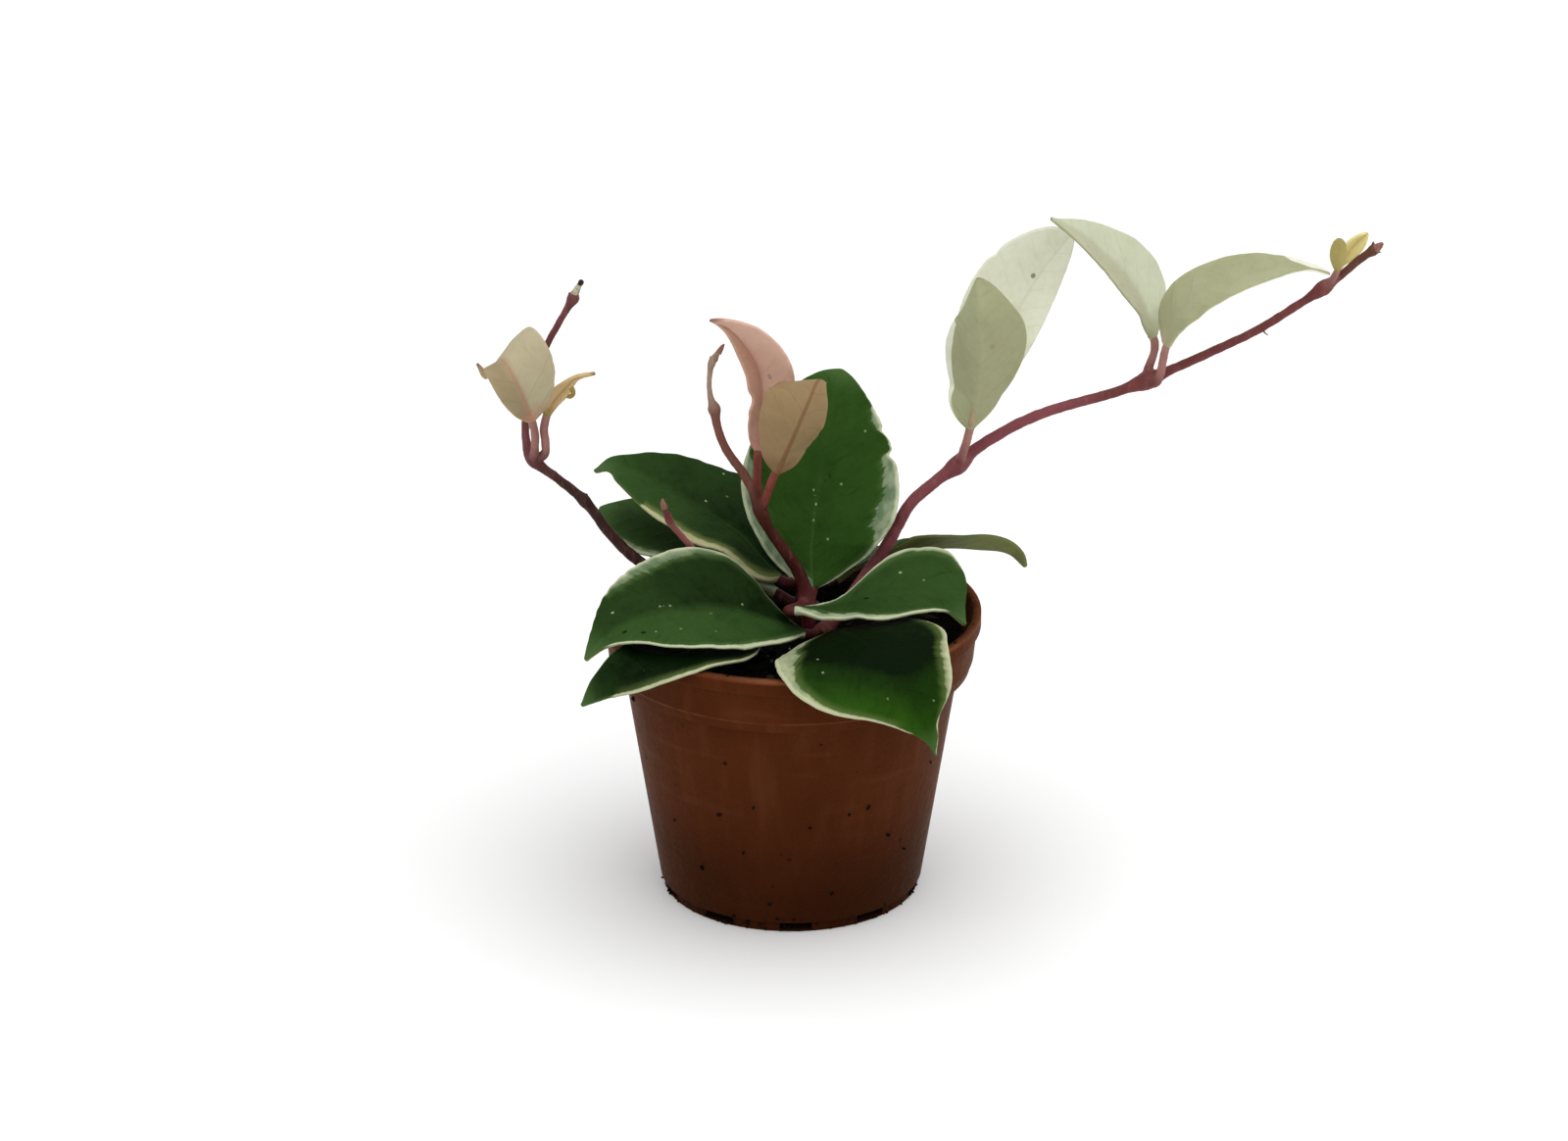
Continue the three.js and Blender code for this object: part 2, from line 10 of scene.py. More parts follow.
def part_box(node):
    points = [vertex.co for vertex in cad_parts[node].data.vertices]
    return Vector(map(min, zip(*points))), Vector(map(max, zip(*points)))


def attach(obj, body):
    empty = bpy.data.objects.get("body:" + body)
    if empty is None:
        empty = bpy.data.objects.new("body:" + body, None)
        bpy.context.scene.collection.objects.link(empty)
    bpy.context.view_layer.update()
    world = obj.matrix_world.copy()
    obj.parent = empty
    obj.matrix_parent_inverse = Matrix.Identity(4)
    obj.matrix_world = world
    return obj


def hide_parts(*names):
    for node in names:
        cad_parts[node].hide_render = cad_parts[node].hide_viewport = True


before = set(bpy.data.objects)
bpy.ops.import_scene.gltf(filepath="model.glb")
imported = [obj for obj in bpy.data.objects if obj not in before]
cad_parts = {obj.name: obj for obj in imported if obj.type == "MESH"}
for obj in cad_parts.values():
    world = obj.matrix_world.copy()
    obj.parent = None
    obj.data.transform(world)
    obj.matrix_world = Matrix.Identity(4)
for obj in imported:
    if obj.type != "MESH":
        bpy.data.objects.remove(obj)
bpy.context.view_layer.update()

bl_info = {
    "name": "Wax Plant in a Nursery Pot",
    "version": (1, 0, 0),
    "blender": (4, 5, 0),
    "location": "3D View > Sidebar > Plant",
    "description": "A young variegated climbing plant with thick leaves, in a round tapered pot",
    "category": "Add Mesh",
}

MM = 0.001
BODY = "root"
_, pot_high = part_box("pot")
_, soil_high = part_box("soil")


def paint(red, green, blue):
    """A colour as it looks on screen, from 0 to 255 a channel, in the linear values that shaders use."""

    def linear(value):
        value /= 255
        return value / 12.92 if value <= 0.04045 else ((value + 0.055) / 1.055) ** 2.4

    return linear(red), linear(green), linear(blue)


def mix(first, second, share):
    return first + (second - first) * share


def shade(colour, strength):
    return [channel * strength for channel in colour]


def between(first, second, share):
    """The colour at a share of the way from the first to the second."""
    return [mix(a, b, share) for a, b in zip(first, second)]


def ease(low, high, value):
    """0 below low, 1 above high, and a smooth step between them."""
    share = min(1.0, max(0.0, (value - low) / (high - low)))
    return share * share * (3 - 2 * share)


def along_points(points, share):
    """The value at a share of the length, eased between the listed (share, value) points."""
    for (start, first), (end, second) in zip(points, points[1:]):
        if share <= end:
            return mix(first, second, ease(start, end, share))
    return points[-1][1]


def hump(distance, reach):
    return math.exp(-((distance / reach) ** 2))


# Settings


def length(name, description, default):
    return bpy.props.FloatProperty(
        name=name, description=description, default=default, min=0, subtype="DISTANCE", unit="LENGTH"
    )


def light_strength(name, description, default):
    return bpy.props.FloatProperty(name=name, description=description, default=default, min=0)


def number_of(name, description, default):
    return bpy.props.IntProperty(name=name, description=description, default=default, min=0)


def colour(name, description, default):
    return bpy.props.FloatVectorProperty(
        name=name, description=description, default=default, min=0, max=1, subtype="COLOR", size=3
    )


class PotSettings(bpy.types.PropertyGroup):
    height: length("Height", "From the foot to the top of the rim", pot_high.z)
    rim_radius: length("Rim Radius", "Outside of the bead round the rim", pot_high.x)
    collar_radius: length("Collar Radius", "Outside of the collar at its lower edge", 49.9 * MM)
    collar_height: length("Collar Height", "From the rim down to the ledge", 16.6 * MM)
    shoulder_radius: length("Shoulder Radius", "Outside of the body just under the collar", 46.4 * MM)
    base_radius: length("Base Radius", "Outside of the body just above the foot", 36.6 * MM)
    foot_radius: length("Foot Radius", "Outside of the inset foot", 35.6 * MM)
    foot_height: length("Foot Height", "Height of the inset foot", 3 * MM)
    wall: length("Wall", "Thickness of the wall", 1.2 * MM)
    slots: number_of("Slots", "Drain slots round the foot", 10)
    slot_width: length("Slot Width", "Width of a drain slot", 9 * MM)
    slot_height: length("Slot Height", "Height of a drain slot", 2.3 * MM)
    plastic: colour("Plastic", "Brown of the moulded plastic", paint(76, 36, 15))
    scuff: colour("Scuff", "Paler brown of rubbed places", paint(116, 70, 46))
    # Dirt is also painted as shade over the wall down inside the pot and in the slots.
    dirt_and_inner_shade: colour("Dirt", "Dried soil on the wall", paint(24, 14, 9))


class SoilSettings(bpy.types.PropertyGroup):
    level: length("Level", "Height of the soil's surface over the ground", soil_high.z - 0.8 * MM)
    relief: length("Relief", "Height of the clods", 2.2 * MM)
    crumbs: number_of("Crumbs", "Loose crumbs on the soil", 420)
    bark: number_of("Bark", "Chips of bark on the soil", 46)
    perlite: number_of("Perlite", "White grains", 58)
    fibres: number_of("Fibres", "Loose root fibres", 34)
    # Wet is near black: the soil's own dark colour, darkened further as painted shade under the leaves.
    wet: colour("Wet", "Dark moist soil", paint(9, 8, 6))
    dry: colour("Dry", "Drier crumbs", paint(30, 24, 18))


class StemSettings(bpy.types.PropertyGroup):
    voxel: length("Grain", "Cell size with which stems and stalks are grown together", 0.32 * MM)
    wood: colour("Wood", "Dark brown of the oldest stem", paint(54, 32, 27))
    dusky: colour("Dusky", "Maroon between old and young wood", paint(114, 66, 68))
    crimson: colour("Crimson", "Red of a stem just over the soil", paint(96, 42, 46))
    maroon: colour("Maroon", "Dark red brown of the climbing stems", paint(70, 30, 24))
    brown: colour("Brown", "Red brown of younger stem", paint(116, 72, 60))
    rose: colour("Rose", "Rose brown of the long right stem", paint(126, 68, 73))
    wine: colour("Wine", "Darker part of the long right stem", paint(112, 59, 58))
    umber: colour("Umber", "Brown end of the long right stem", paint(92, 60, 42))
    blush: colour("Blush", "Rose of the young shoot", paint(148, 90, 84))
    hazel: colour("Hazel", "Stalk under the tan leaf", paint(124, 94, 62))
    blade_foot: colour("Blade Foot", "Stalk that runs out under a young blade", paint(172, 146, 118))
    tan: colour("Tan", "Grey tan of the youngest stem", paint(152, 130, 113))
    # A grown leaf's stalk is darker than its own red, as painted shade among the leaves.
    petiole: colour("Petiole", "Dark red of a grown leaf's stalk", paint(84, 38, 37))
    soft_petiole: colour("Young Petiole", "Pale rose of a young leaf's stalk", paint(158, 112, 104))
    scar: colour("Scar", "Red brown of the rings at the nodes", paint(132, 70, 68))
    brick: colour("Brick", "Stalks of the pink leaves", paint(132, 64, 56))
    bud: colour("Bud", "Grey tan of a growing tip", paint(134, 112, 88))


class LeafSettings(bpy.types.PropertyGroup):
    green: colour("Green", "Middle green of a grown leaf", paint(50, 76, 35))
    # Deep Green is painted as shade on the grown leaves and in their creases, and also makes dark flecks and
    # specks.
    deep: colour("Deep Green", "Darkest parts of a grown leaf", paint(6, 20, 3))
    vivid: colour("Vivid Green", "Fresher green of the front leaf", paint(38, 76, 5))
    light: colour("Light Green", "Along the rib, at the tip and beside the margin", paint(78, 106, 58))
    cream: colour("Cream", "Bright edge of the margins", paint(188, 196, 163))
    mint: colour("Mint", "Grey green part of a margin", paint(110, 130, 100))
    yellow: colour("Yellow", "Warm margins", paint(168, 160, 112))
    olive: colour("Olive", "Underside of a grown leaf", paint(112, 119, 67))
    milk: colour("Milk", "Upper face of the young pale leaves", paint(226, 229, 210))
    sage: colour("Sage", "Underside of the young pale leaves", paint(162, 165, 130))
    pink: colour("Pink", "Face of the young pink leaf", paint(214, 178, 160))
    tan: colour("Tan", "Underside of the young tan leaf", paint(144, 121, 87))
    ivory: colour("Ivory", "Face of the young cream leaf", paint(180, 170, 140))
    mist: colour("Mist", "Upper face of the arched pale leaf", paint(192, 197, 172))
    straw: colour("Straw", "Nearer bud leaf and curled lobe", paint(166, 154, 95))
    lemon: colour("Lemon", "Farther bud leaf", paint(226, 214, 152))
    peach: colour("Peach", "Small curled leaf", paint(200, 174, 130))


class StageSettings(bpy.types.PropertyGroup):
    distance: length("Distance", "From the camera to the plant", 1.5)
    elevation: bpy.props.FloatProperty(
        name="Elevation", description="Angle that the camera looks down by", default=math.radians(22),
        subtype="ANGLE", unit="ROTATION",
    )
    lens: bpy.props.FloatProperty(name="Lens", description="Focal length in millimetres", default=125.03)
    overhead: light_strength("Overhead", "Strength of the light from above", 2)
    fill: light_strength("Fill", "Strength of the light from the front", 0.25)
    sky: light_strength("Sky", "Strength of the light from all round", 0.55)
    floor: colour("Floor", "Pale ground", (0.93, 0.93, 0.93))


# Curves


class Route:
    """A smooth curve through points, read by the share of its length."""

    STEPS = 16

    def __init__(self, points):
        points = [Vector(p) for p in points]
        ends = [2 * points[0] - points[1], *points, 2 * points[-1] - points[-2]]
        self.places = [points[0]]
        for four in zip(ends, ends[1:], ends[2:], ends[3:]):
            self.places += [self.between(*four, step / self.STEPS) for step in range(1, self.STEPS + 1)]
        self.reached = [0.0]
        for here, there in zip(self.places, self.places[1:]):
            self.reached.append(self.reached[-1] + (there - here).length)
        self.length = self.reached[-1]

    @staticmethod
    def between(before, start, end, after, share):
        """A centripetal Catmull-Rom span from start to end."""
        first, middle, last = (
            max((b - a).length, 1e-9) ** 0.5 for a, b in ((before, start), (start, end), (end, after))
        )
        leave = (start - before) / first - (end - before) / (first + middle) + (end - start) / middle
        arrive = (end - start) / middle - (after - start) / (middle + last) + (after - end) / last
        s2, s3 = share**2, share**3
        return (
            (2 * s3 - 3 * s2 + 1) * start
            + (s3 - 2 * s2 + share) * middle * leave
            + (3 * s2 - 2 * s3) * end
            + (s3 - s2) * middle * arrive
        )

    def place(self, share):
        goal = min(1.0, max(0.0, share)) * self.length
        low, high = 0, len(self.reached) - 1
        while high - low > 1:
            middle = (low + high) // 2
            low, high = (middle, high) if self.reached[middle] <= goal else (low, middle)
        part = (goal - self.reached[low]) / (self.reached[high] - self.reached[low])
        return self.places[low].lerp(self.places[high], part)

    def at(self, share):
        """The place and the direction there."""
        near = 0.004
        ahead, behind = self.place(share + near), self.place(share - near)
        return self.place(share), (ahead - behind).normalized()


# Meshes


def object_from(name, shape):
    """An object from a bmesh, which it uses up."""
    mesh = bpy.data.meshes.new(name)
    shape.to_mesh(mesh)
    shape.free()
    obj = bpy.data.objects.new(name, mesh)
    bpy.context.scene.collection.objects.link(obj)
    return obj


def piece(name, shape, *nodes, slot):
    """An object from a bmesh in millimetres, riding on the plant's one body in place of the named nodes."""
    bmesh.ops.scale(shape, vec=(MM, MM, MM), verts=shape.verts)
    bmesh.ops.recalc_face_normals(shape, faces=shape.faces)
    obj = object_from(name, shape)
    obj.data.shade_smooth()
    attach(obj, BODY)
    if nodes:
        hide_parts(*nodes)
    return obj


def subdivided(obj):
    finish = obj.modifiers.new("smooth", "SUBSURF")
    finish.levels = 1
    finish.render_levels = 1
    return obj


def with_modifiers_applied(obj):
    """Swaps the object's mesh for its evaluated one."""
    bpy.context.view_layer.update()
    evaluated = obj.evaluated_get(bpy.context.evaluated_depsgraph_get())
    mesh = bpy.data.meshes.new_from_object(evaluated)
    obj.modifiers.clear()
    old, obj.data = obj.data, mesh
    bpy.data.meshes.remove(old)
    return obj


def tube(shape, route, radius, sides, step):
    """Adds a closed tube along a route to the bmesh: radius gives its radius at a share of the length."""
    count = max(3, round(route.length / step))
    ring = bmesh.ops.create_circle(shape, cap_ends=True, segments=sides, radius=1)["verts"]
    edges = list({edge for vert in ring for edge in vert.link_edges})
    across = None
    pose = Matrix.Identity(4)
    for station in range(count + 1):
        share = station / count
        centre, along = route.at(share)
        if across is None:
            across = along.orthogonal()
        across = (across - along * across.dot(along)).normalized()
        turn = Matrix((across, along.cross(across), along)).transposed().to_4x4()
        new_pose = Matrix.Translation(centre) @ turn @ Matrix.Diagonal((*[radius(share)] * 3, 1))
        if station:
            made = bmesh.ops.extrude_edge_only(shape, edges=edges)["geom"]
            ring = [part for part in made if isinstance(part, bmesh.types.BMVert)]
            edges = [part for part in made if isinstance(part, bmesh.types.BMEdge)]
        bmesh.ops.transform(shape, matrix=new_pose @ pose.inverted(), verts=ring)
        pose = new_pose
    bmesh.ops.edgeloop_fill(shape, edges=edges)


def section(shape, profile):
    """Adds a chain of points at (radius, height) to the bmesh, to be spun about the upright axis."""
    verts = [shape.verts.new((radius, 0, height)) for radius, height in profile]
    for pair in zip(verts, verts[1:]):
        shape.edges.new(pair)
    return verts


def spin(shape, steps):
    bmesh.ops.spin(
        shape, geom=shape.verts[:] + shape.edges[:], axis=(0, 0, 1), cent=(0, 0, 0),
        steps=steps, angle=2 * math.pi, use_merge=True,
    )
    bmesh.ops.remove_doubles(shape, verts=shape.verts, dist=1e-4)


# Materials


class Surface:
    """A procedural material. Each method adds a node and gives back its result."""

    def __init__(self, name):
        self.material = bpy.data.materials.new(name)
        self.material.use_nodes = True
        self.tree = self.material.node_tree
        self.shader = self.tree.nodes["Principled BSDF"]

    def join(self, value, socket):
        if isinstance(value, bpy.types.NodeSocket):
            self.tree.links.new(value, socket)
        elif socket.type == "RGBA":
            socket.default_value = (*value[:3], 1)
        else:
            socket.default_value = value

    def add(self, kind, **settings):
        node = self.tree.nodes.new(kind)
        for name, value in settings.items():
            setattr(node, name, value)
        return node

    def place(self):
        return self.add("ShaderNodeTexCoord").outputs["Object"]

    def attribute(self, name, part="Fac"):
        return self.add("ShaderNodeAttribute", attribute_name=name).outputs[part]

    def maths(self, operation, first, second=0.0, third=None):
        node = self.add("ShaderNodeMath", operation=operation)
        self.join(first, node.inputs[0])
        self.join(second, node.inputs[1])
        if third is not None:
            self.join(third, node.inputs[2])
        return node.outputs[0]

    def times(self, first, second):
        return self.maths("MULTIPLY", first, second)

    def minus(self, first, second):
        return self.maths("SUBTRACT", first, second)

    def size(self, value):
        return self.maths("ABSOLUTE", value)

    def parts(self, vector):
        """The three parts of a vector."""
        node = self.add("ShaderNodeSeparateXYZ")
        self.join(vector, node.inputs[0])
        return node.outputs

    def stretch(self, vector, scale):
        node = self.add("ShaderNodeMapping")
        self.join(vector, node.inputs["Vector"])
        node.inputs["Scale"].default_value = scale
        return node.outputs[0]

    def spread(self, value, low, high, first=0.0, second=1.0):
        """A smooth step from first to second as the value goes from low to high."""
        node = self.add("ShaderNodeMapRange", interpolation_type="SMOOTHSTEP")
        for number, setting in enumerate((value, low, high, first, second)):
            self.join(setting, node.inputs[number])
        return node.outputs[0]

    def texture(self, kind, vector, size, **inputs):
        """The results of a texture whose features are about that size in the vector's unit."""
        node = self.add(kind)
        self.join(vector, node.inputs["Vector"])
        node.inputs["Scale"].default_value = 1 / size
        for name, value in inputs.items():
            node.inputs[name].default_value = value
        return node.outputs

    def noise(self, vector, size, detail=2.0, roughness=0.5):
        """Noise from 0 to 1."""
        return self.texture("ShaderNodeTexNoise", vector, size, Detail=detail, Roughness=roughness)["Fac"]

    def warped(self, vector, size, reach):
        """The vector, pushed about by noise of that size by up to about that reach."""
        shift = self.add("ShaderNodeVectorMath", operation="MULTIPLY_ADD")
        self.join(self.texture("ShaderNodeTexNoise", vector, size)["Color"], shift.inputs[0])
        shift.inputs[1].default_value = (reach, reach, reach)
        self.join(vector, shift.inputs[2])
        return shift.outputs[0]

    def cells(self, vector, size):
        """The distance from the middle of the nearest cell."""
        return self.texture("ShaderNodeTexVoronoi", vector, size)["Distance"]

    def flecks(self, vector, size, share, radius):
        """Soft spots of up to that radius: one in each of a share of the cells of that size."""
        cell = self.texture("ShaderNodeTexVoronoi", vector, size)
        channels = self.add("ShaderNodeSeparateColor")
        self.join(cell["Color"], channels.inputs[0])
        reach = self.spread(channels.outputs[0], 1 - share, 1.0, -0.3 * radius / size, radius / size)
        beyond = self.minus(cell["Distance"], reach)
        return self.spread(beyond, 0.25 * radius / size, -0.25 * radius / size)

    def blend(self, share, first, second, mode="MIX"):
        node = self.add("ShaderNodeMix", data_type="RGBA", blend_type=mode)
        self.join(share, node.inputs["Factor"])
        colours = [socket for socket in node.inputs if socket.type == "RGBA"]
        self.join(first, colours[0])
        self.join(second, colours[1])
        return next(socket for socket in node.outputs if socket.type == "RGBA")

    def over(self, base, colour, *masks):
        """Lays a colour over the base, as strongly as the product of the masks says."""
        share = masks[0]
        for mask in masks[1:]:
            share = self.times(share, mask)
        return self.blend(share, base, colour)

    def darkened(self, base, tint):
        return self.blend(1.0, base, tint, "MULTIPLY")

    def bumps(self, *layers):
        """Stacks bumps of (height, depth in metres) into one normal."""
        normal = None
        for height, depth in layers:
            node = self.add("ShaderNodeBump")
            node.inputs["Strength"].default_value = 1
            node.inputs["Distance"].default_value = depth
            self.join(height, node.inputs["Height"])
            if normal is not None:
                self.join(normal, node.inputs["Normal"])
            normal = node.outputs[0]
        return normal

    def finish(self, colour, roughness, normal=None, **constants):
        self.join(colour, self.shader.inputs["Base Color"])
        self.join(roughness, self.shader.inputs["Roughness"])
        if normal is not None:
            self.join(normal, self.shader.inputs["Normal"])
        for name, value in constants.items():
            self.join(value, self.shader.inputs[name.replace("_", " ")])
        return self.material


# Pot

# How far the moulded line round the collar lies over the ledge, in millimetres.
COLLAR_LINE = 3.2


def pot_profile(pot):
    """The pot's section in millimetres, from the axis under the floor round to the axis over it."""
    height, rim, wall = pot.height / MM, pot.rim_radius / MM, pot.wall / MM
    collar, shoulder = pot.collar_radius / MM, pot.shoulder_radius / MM
    base, foot, foot_top = pot.base_radius / MM, pot.foot_radius / MM, pot.foot_height / MM
    ledge = height - pot.collar_height / MM
    line = ledge + COLLAR_LINE
    outside = [
        (0, 0.5),
        (foot - 7, 0.5),
        (foot - 6.6, 0),
        (foot, 0),
        (foot + 0.1, foot_top - 0.3),
        (base, foot_top),
        (shoulder, ledge - 0.2),
        (collar - 0.4, ledge + 0.4),
        (collar + 0.35, line - 0.25),
        (collar + 0.6, line + 0.15),
        (rim - 1.1, height - 4.7),
        (rim, height - 4.2),
        (rim, height),
    ]
    inside = [
        (rim - 2.2, height),
        (rim - 2.4, height - 1.2),
        (collar - wall, ledge + wall + 0.6),
        (shoulder - wall, ledge + wall - 0.3),
        (base - wall, 2.4),
        (base - wall - 0.8, 1.6),
        (0, 1.6),
    ]
    return outside + inside


class PLANT_OT_pot(bpy.types.Operator):
    """Turn the round tapered pot with its collar, bead and drain slots"""

    bl_idname = "plant.pot"
    bl_label = "Nursery Pot"

    CORNER = 0.45
    SIDES = 176
    SLOT_FLOOR = 0.35 * MM
    SLOT_INNER = 29 * MM
    SLOT_TURN = math.radians(2)

    def execute(self, context):
        pot = context.scene.plant_pot
        shape = bmesh.new()
        verts = section(shape, pot_profile(pot))
        bmesh.ops.bevel(
            shape, geom=verts[1:-1], offset=self.CORNER, offset_type="OFFSET", segments=4, profile=0.5,
            affect="VERTICES", clamp_overlap=True, material=-1,
        )
        spin(shape, self.SIDES)
        body = piece("nursery_pot", shape, "pot", slot="pot")
        self.cut_slots(pot, body)
        self.mark(pot, body.data)
        body.data.shade_smooth()
        body.data.set_sharp_from_angle(angle=math.radians(40))
        body.data.materials.append(pot_material(pot))
        return {"FINISHED"}

    @staticmethod
    def mark(pot, mesh):
        """Stores on each point whether it lies inside the pot or in a slot, where soil clings and where
        painted shade darkens the wall.
        """
        ledge = pot.height - pot.collar_height
        inside = []
        for vert in mesh.vertices:
            radius, height = math.hypot(vert.co.x, vert.co.y), vert.co.z
            if height > ledge:
                wall = mix(pot.collar_radius, pot.rim_radius, (height - ledge) / pot.collar_height) - 1.6 * MM
            elif height > pot.foot_height - 0.5 * MM:
                wall = mix(pot.base_radius, pot.shoulder_radius, height / ledge) - 0.6 * pot.wall
            else:
                wall = pot.foot_radius - 0.6 * MM
            inside.append(1.0 if radius < wall else 0.0)
        mesh.attributes.new("inside", "FLOAT", "POINT").data.foreach_set("value", inside)

    def cut_slots(self, pot, body):
        depth = 2 * (pot.foot_radius - self.SLOT_INNER)
        shape = bmesh.new()
        for number in range(pot.slots):
            turn = Matrix.Rotation(self.SLOT_TURN + 2 * math.pi * number / pot.slots, 4, "Z")
            size = Matrix.Diagonal((pot.slot_width, depth, pot.slot_height, 1))
            place = Matrix.Translation(
                (0, -self.SLOT_INNER - depth / 2, self.SLOT_FLOOR + pot.slot_height / 2)
            )
            bmesh.ops.create_cube(shape, size=1, matrix=turn @ place @ size)
        cutter = object_from("slot_cutter", shape)
        cut = body.modifiers.new("slots", "BOOLEAN")
        cut.operation = "DIFFERENCE"
        cut.solver = "EXACT"
        cut.object = cutter
        with_modifiers_applied(body)
        mesh = cutter.data
        bpy.data.objects.remove(cutter)
        bpy.data.meshes.remove(mesh)


def pot_material(pot):
    """Matte brown plastic with faint upright streaks, rubbed places, specks of soil and a dirty foot, with
    painted shade towards the bottom and down inside, and painted highlights on the bead and moulded line.
    """
    s = Surface("moulded_plastic")
    place = s.place()
    height = s.parts(place)[2]
    cloud = s.noise(place, 26 * MM, 4, 0.55)
    streaks = s.noise(s.stretch(place, (1, 1, 0.12)), 5 * MM, 3)
    bands = s.noise(s.stretch(place, (0.15, 0.15, 1)), 4 * MM, 3)
    grain = s.noise(place, 0.5 * MM, 2)
    base = s.blend(s.spread(cloud, 0.3, 0.72), pot.plastic, shade(pot.plastic, 0.8))
    base = s.over(base, pot.scuff, s.spread(streaks, 0.45, 0.8, 0, 0.16))
    base = s.over(base, pot.scuff, s.spread(bands, 0.55, 0.8, 0, 0.12))

    worn = s.spread(s.noise(place, 15 * MM, 3), 0.5, 0.7)
    scratch = s.spread(s.noise(s.stretch(place, (1, 1, 2.4)), 1 * MM, 3, 0.65), 0.6, 0.76)
    base = s.over(base, pot.scuff, worn, scratch, 0.45)
    # A paler broken line at the moulded line: partly rubbed plastic, partly a painted highlight on its
    # rounded edge.
    line = s.size(s.minus(height, pot.height - pot.collar_height + COLLAR_LINE * MM))
    broken_line_wear_and_highlight = s.spread(s.noise(place, 6 * MM, 3), 0.35, 0.6, 0.05, 0.4)
    base = s.over(base, pot.scuff, s.spread(line, 0.45 * MM, 0.1 * MM), broken_line_wear_and_highlight)
    # The bead's top is paler: partly rubbed plastic, partly a painted highlight.
    bead = s.spread(height, pot.height - 1.4 * MM, pot.height - 0.4 * MM, 0, 0.5)
    base = s.over(base, shade(pot.scuff, 1.9), bead, s.spread(cloud, 0.4, 0.65, 0.3, 1))

    bent = s.warped(place, 1.2 * MM, 0.9 * MM)
    coarse, fine = s.flecks(bent, 4.4 * MM, 0.2, 0.7 * MM), s.flecks(bent, 2.3 * MM, 0.06, 0.3 * MM)
    specks = s.maths("MAXIMUM", coarse, fine)
    base = s.over(base, pot.dirt_and_inner_shade, specks, 0.85)
    # Painted shade: the wall grows darker towards the bottom.
    low = s.spread(height, 46 * MM, 6 * MM, 0, 0.95)
    base = s.over(base, shade(pot.plastic, 0.42), low, s.spread(cloud, 0.25, 0.6, 0.7, 1))
    clots = s.spread(s.noise(place, 2.2 * MM, 4, 0.65), 0.5, 0.62)
    foot = s.times(s.spread(height, 6 * MM, 0.5 * MM), clots)
    base = s.over(base, pot.dirt_and_inner_shade, foot, 0.85)
    # Inside the pot and in the slots: patches of caked soil, and painted shade that darkens the wall fully
    # from 9 mm under the rim down.
    caked_dirt_and_depth_shade = s.spread(s.noise(place, 3 * MM, 5, 0.7), 0.35, 0.6, 0.4, 0.85)
    caked_dirt_and_depth_shade = s.maths("MAXIMUM", caked_dirt_and_depth_shade, s.spread(height, pot.height - 3 * MM, pot.height - 9 * MM))
    base = s.over(base, pot.dirt_and_inner_shade, s.attribute("inside"), caked_dirt_and_depth_shade)

    roughness = s.maths("MULTIPLY_ADD", s.noise(place, 4 * MM, 4), 0.2, 0.34)
    normal = s.bumps((grain, 0.00003), (streaks, 0.0001), (bands, 0.00008), (specks, 0.0003), (clots, 0.0001))
    return s.finish(
        base, roughness, normal, Specular_IOR_Level=0.01, Sheen_Weight=0.06, Sheen_Roughness=0.4,
        Sheen_Tint=(0.95, 0.48, 0.2),
    )


# Soil

# A grain's turn, and how uneven it is as a share of its size.
WHOLE_TURN = 6.28
ROUGHNESS = 0.35


def grain_mesh(shape, centre, size, generator, subdivisions=1, flat=1.0):
    """Adds one rough grain to the bmesh."""
    angle = generator.uniform(0, WHOLE_TURN)
    turn = Matrix.Rotation(angle, 4, Vector([generator.uniform(-1, 1) for _ in range(3)]))
    stretch = Matrix.Diagonal((generator.uniform(0.7, 1.3), generator.uniform(0.7, 1.1), flat, 1))
    verts = bmesh.ops.create_icosphere(shape, subdivisions=subdivisions, radius=size)["verts"]
    seed = Vector((generator.uniform(0, 90), generator.uniform(0, 90), 0))
    for vert in verts:
        vert.co *= 1 + ROUGHNESS * noise.noise(vert.co / size * 1.3 + seed)
    bmesh.ops.transform(shape, matrix=Matrix.Translation(centre) @ turn @ stretch, verts=verts)


def soil_surface(soil, x, y):
    """Height of the soil in millimetres at a place."""
    place = Vector((x, y, 0))
    clods = noise.turbulence(place / 7, 4, False)
    crumbs = noise.noise(place / 1.9 + Vector((7, 3, 1)))
    return soil.level / MM + soil.relief / MM * (clods - 0.55) + 0.35 * crumbs


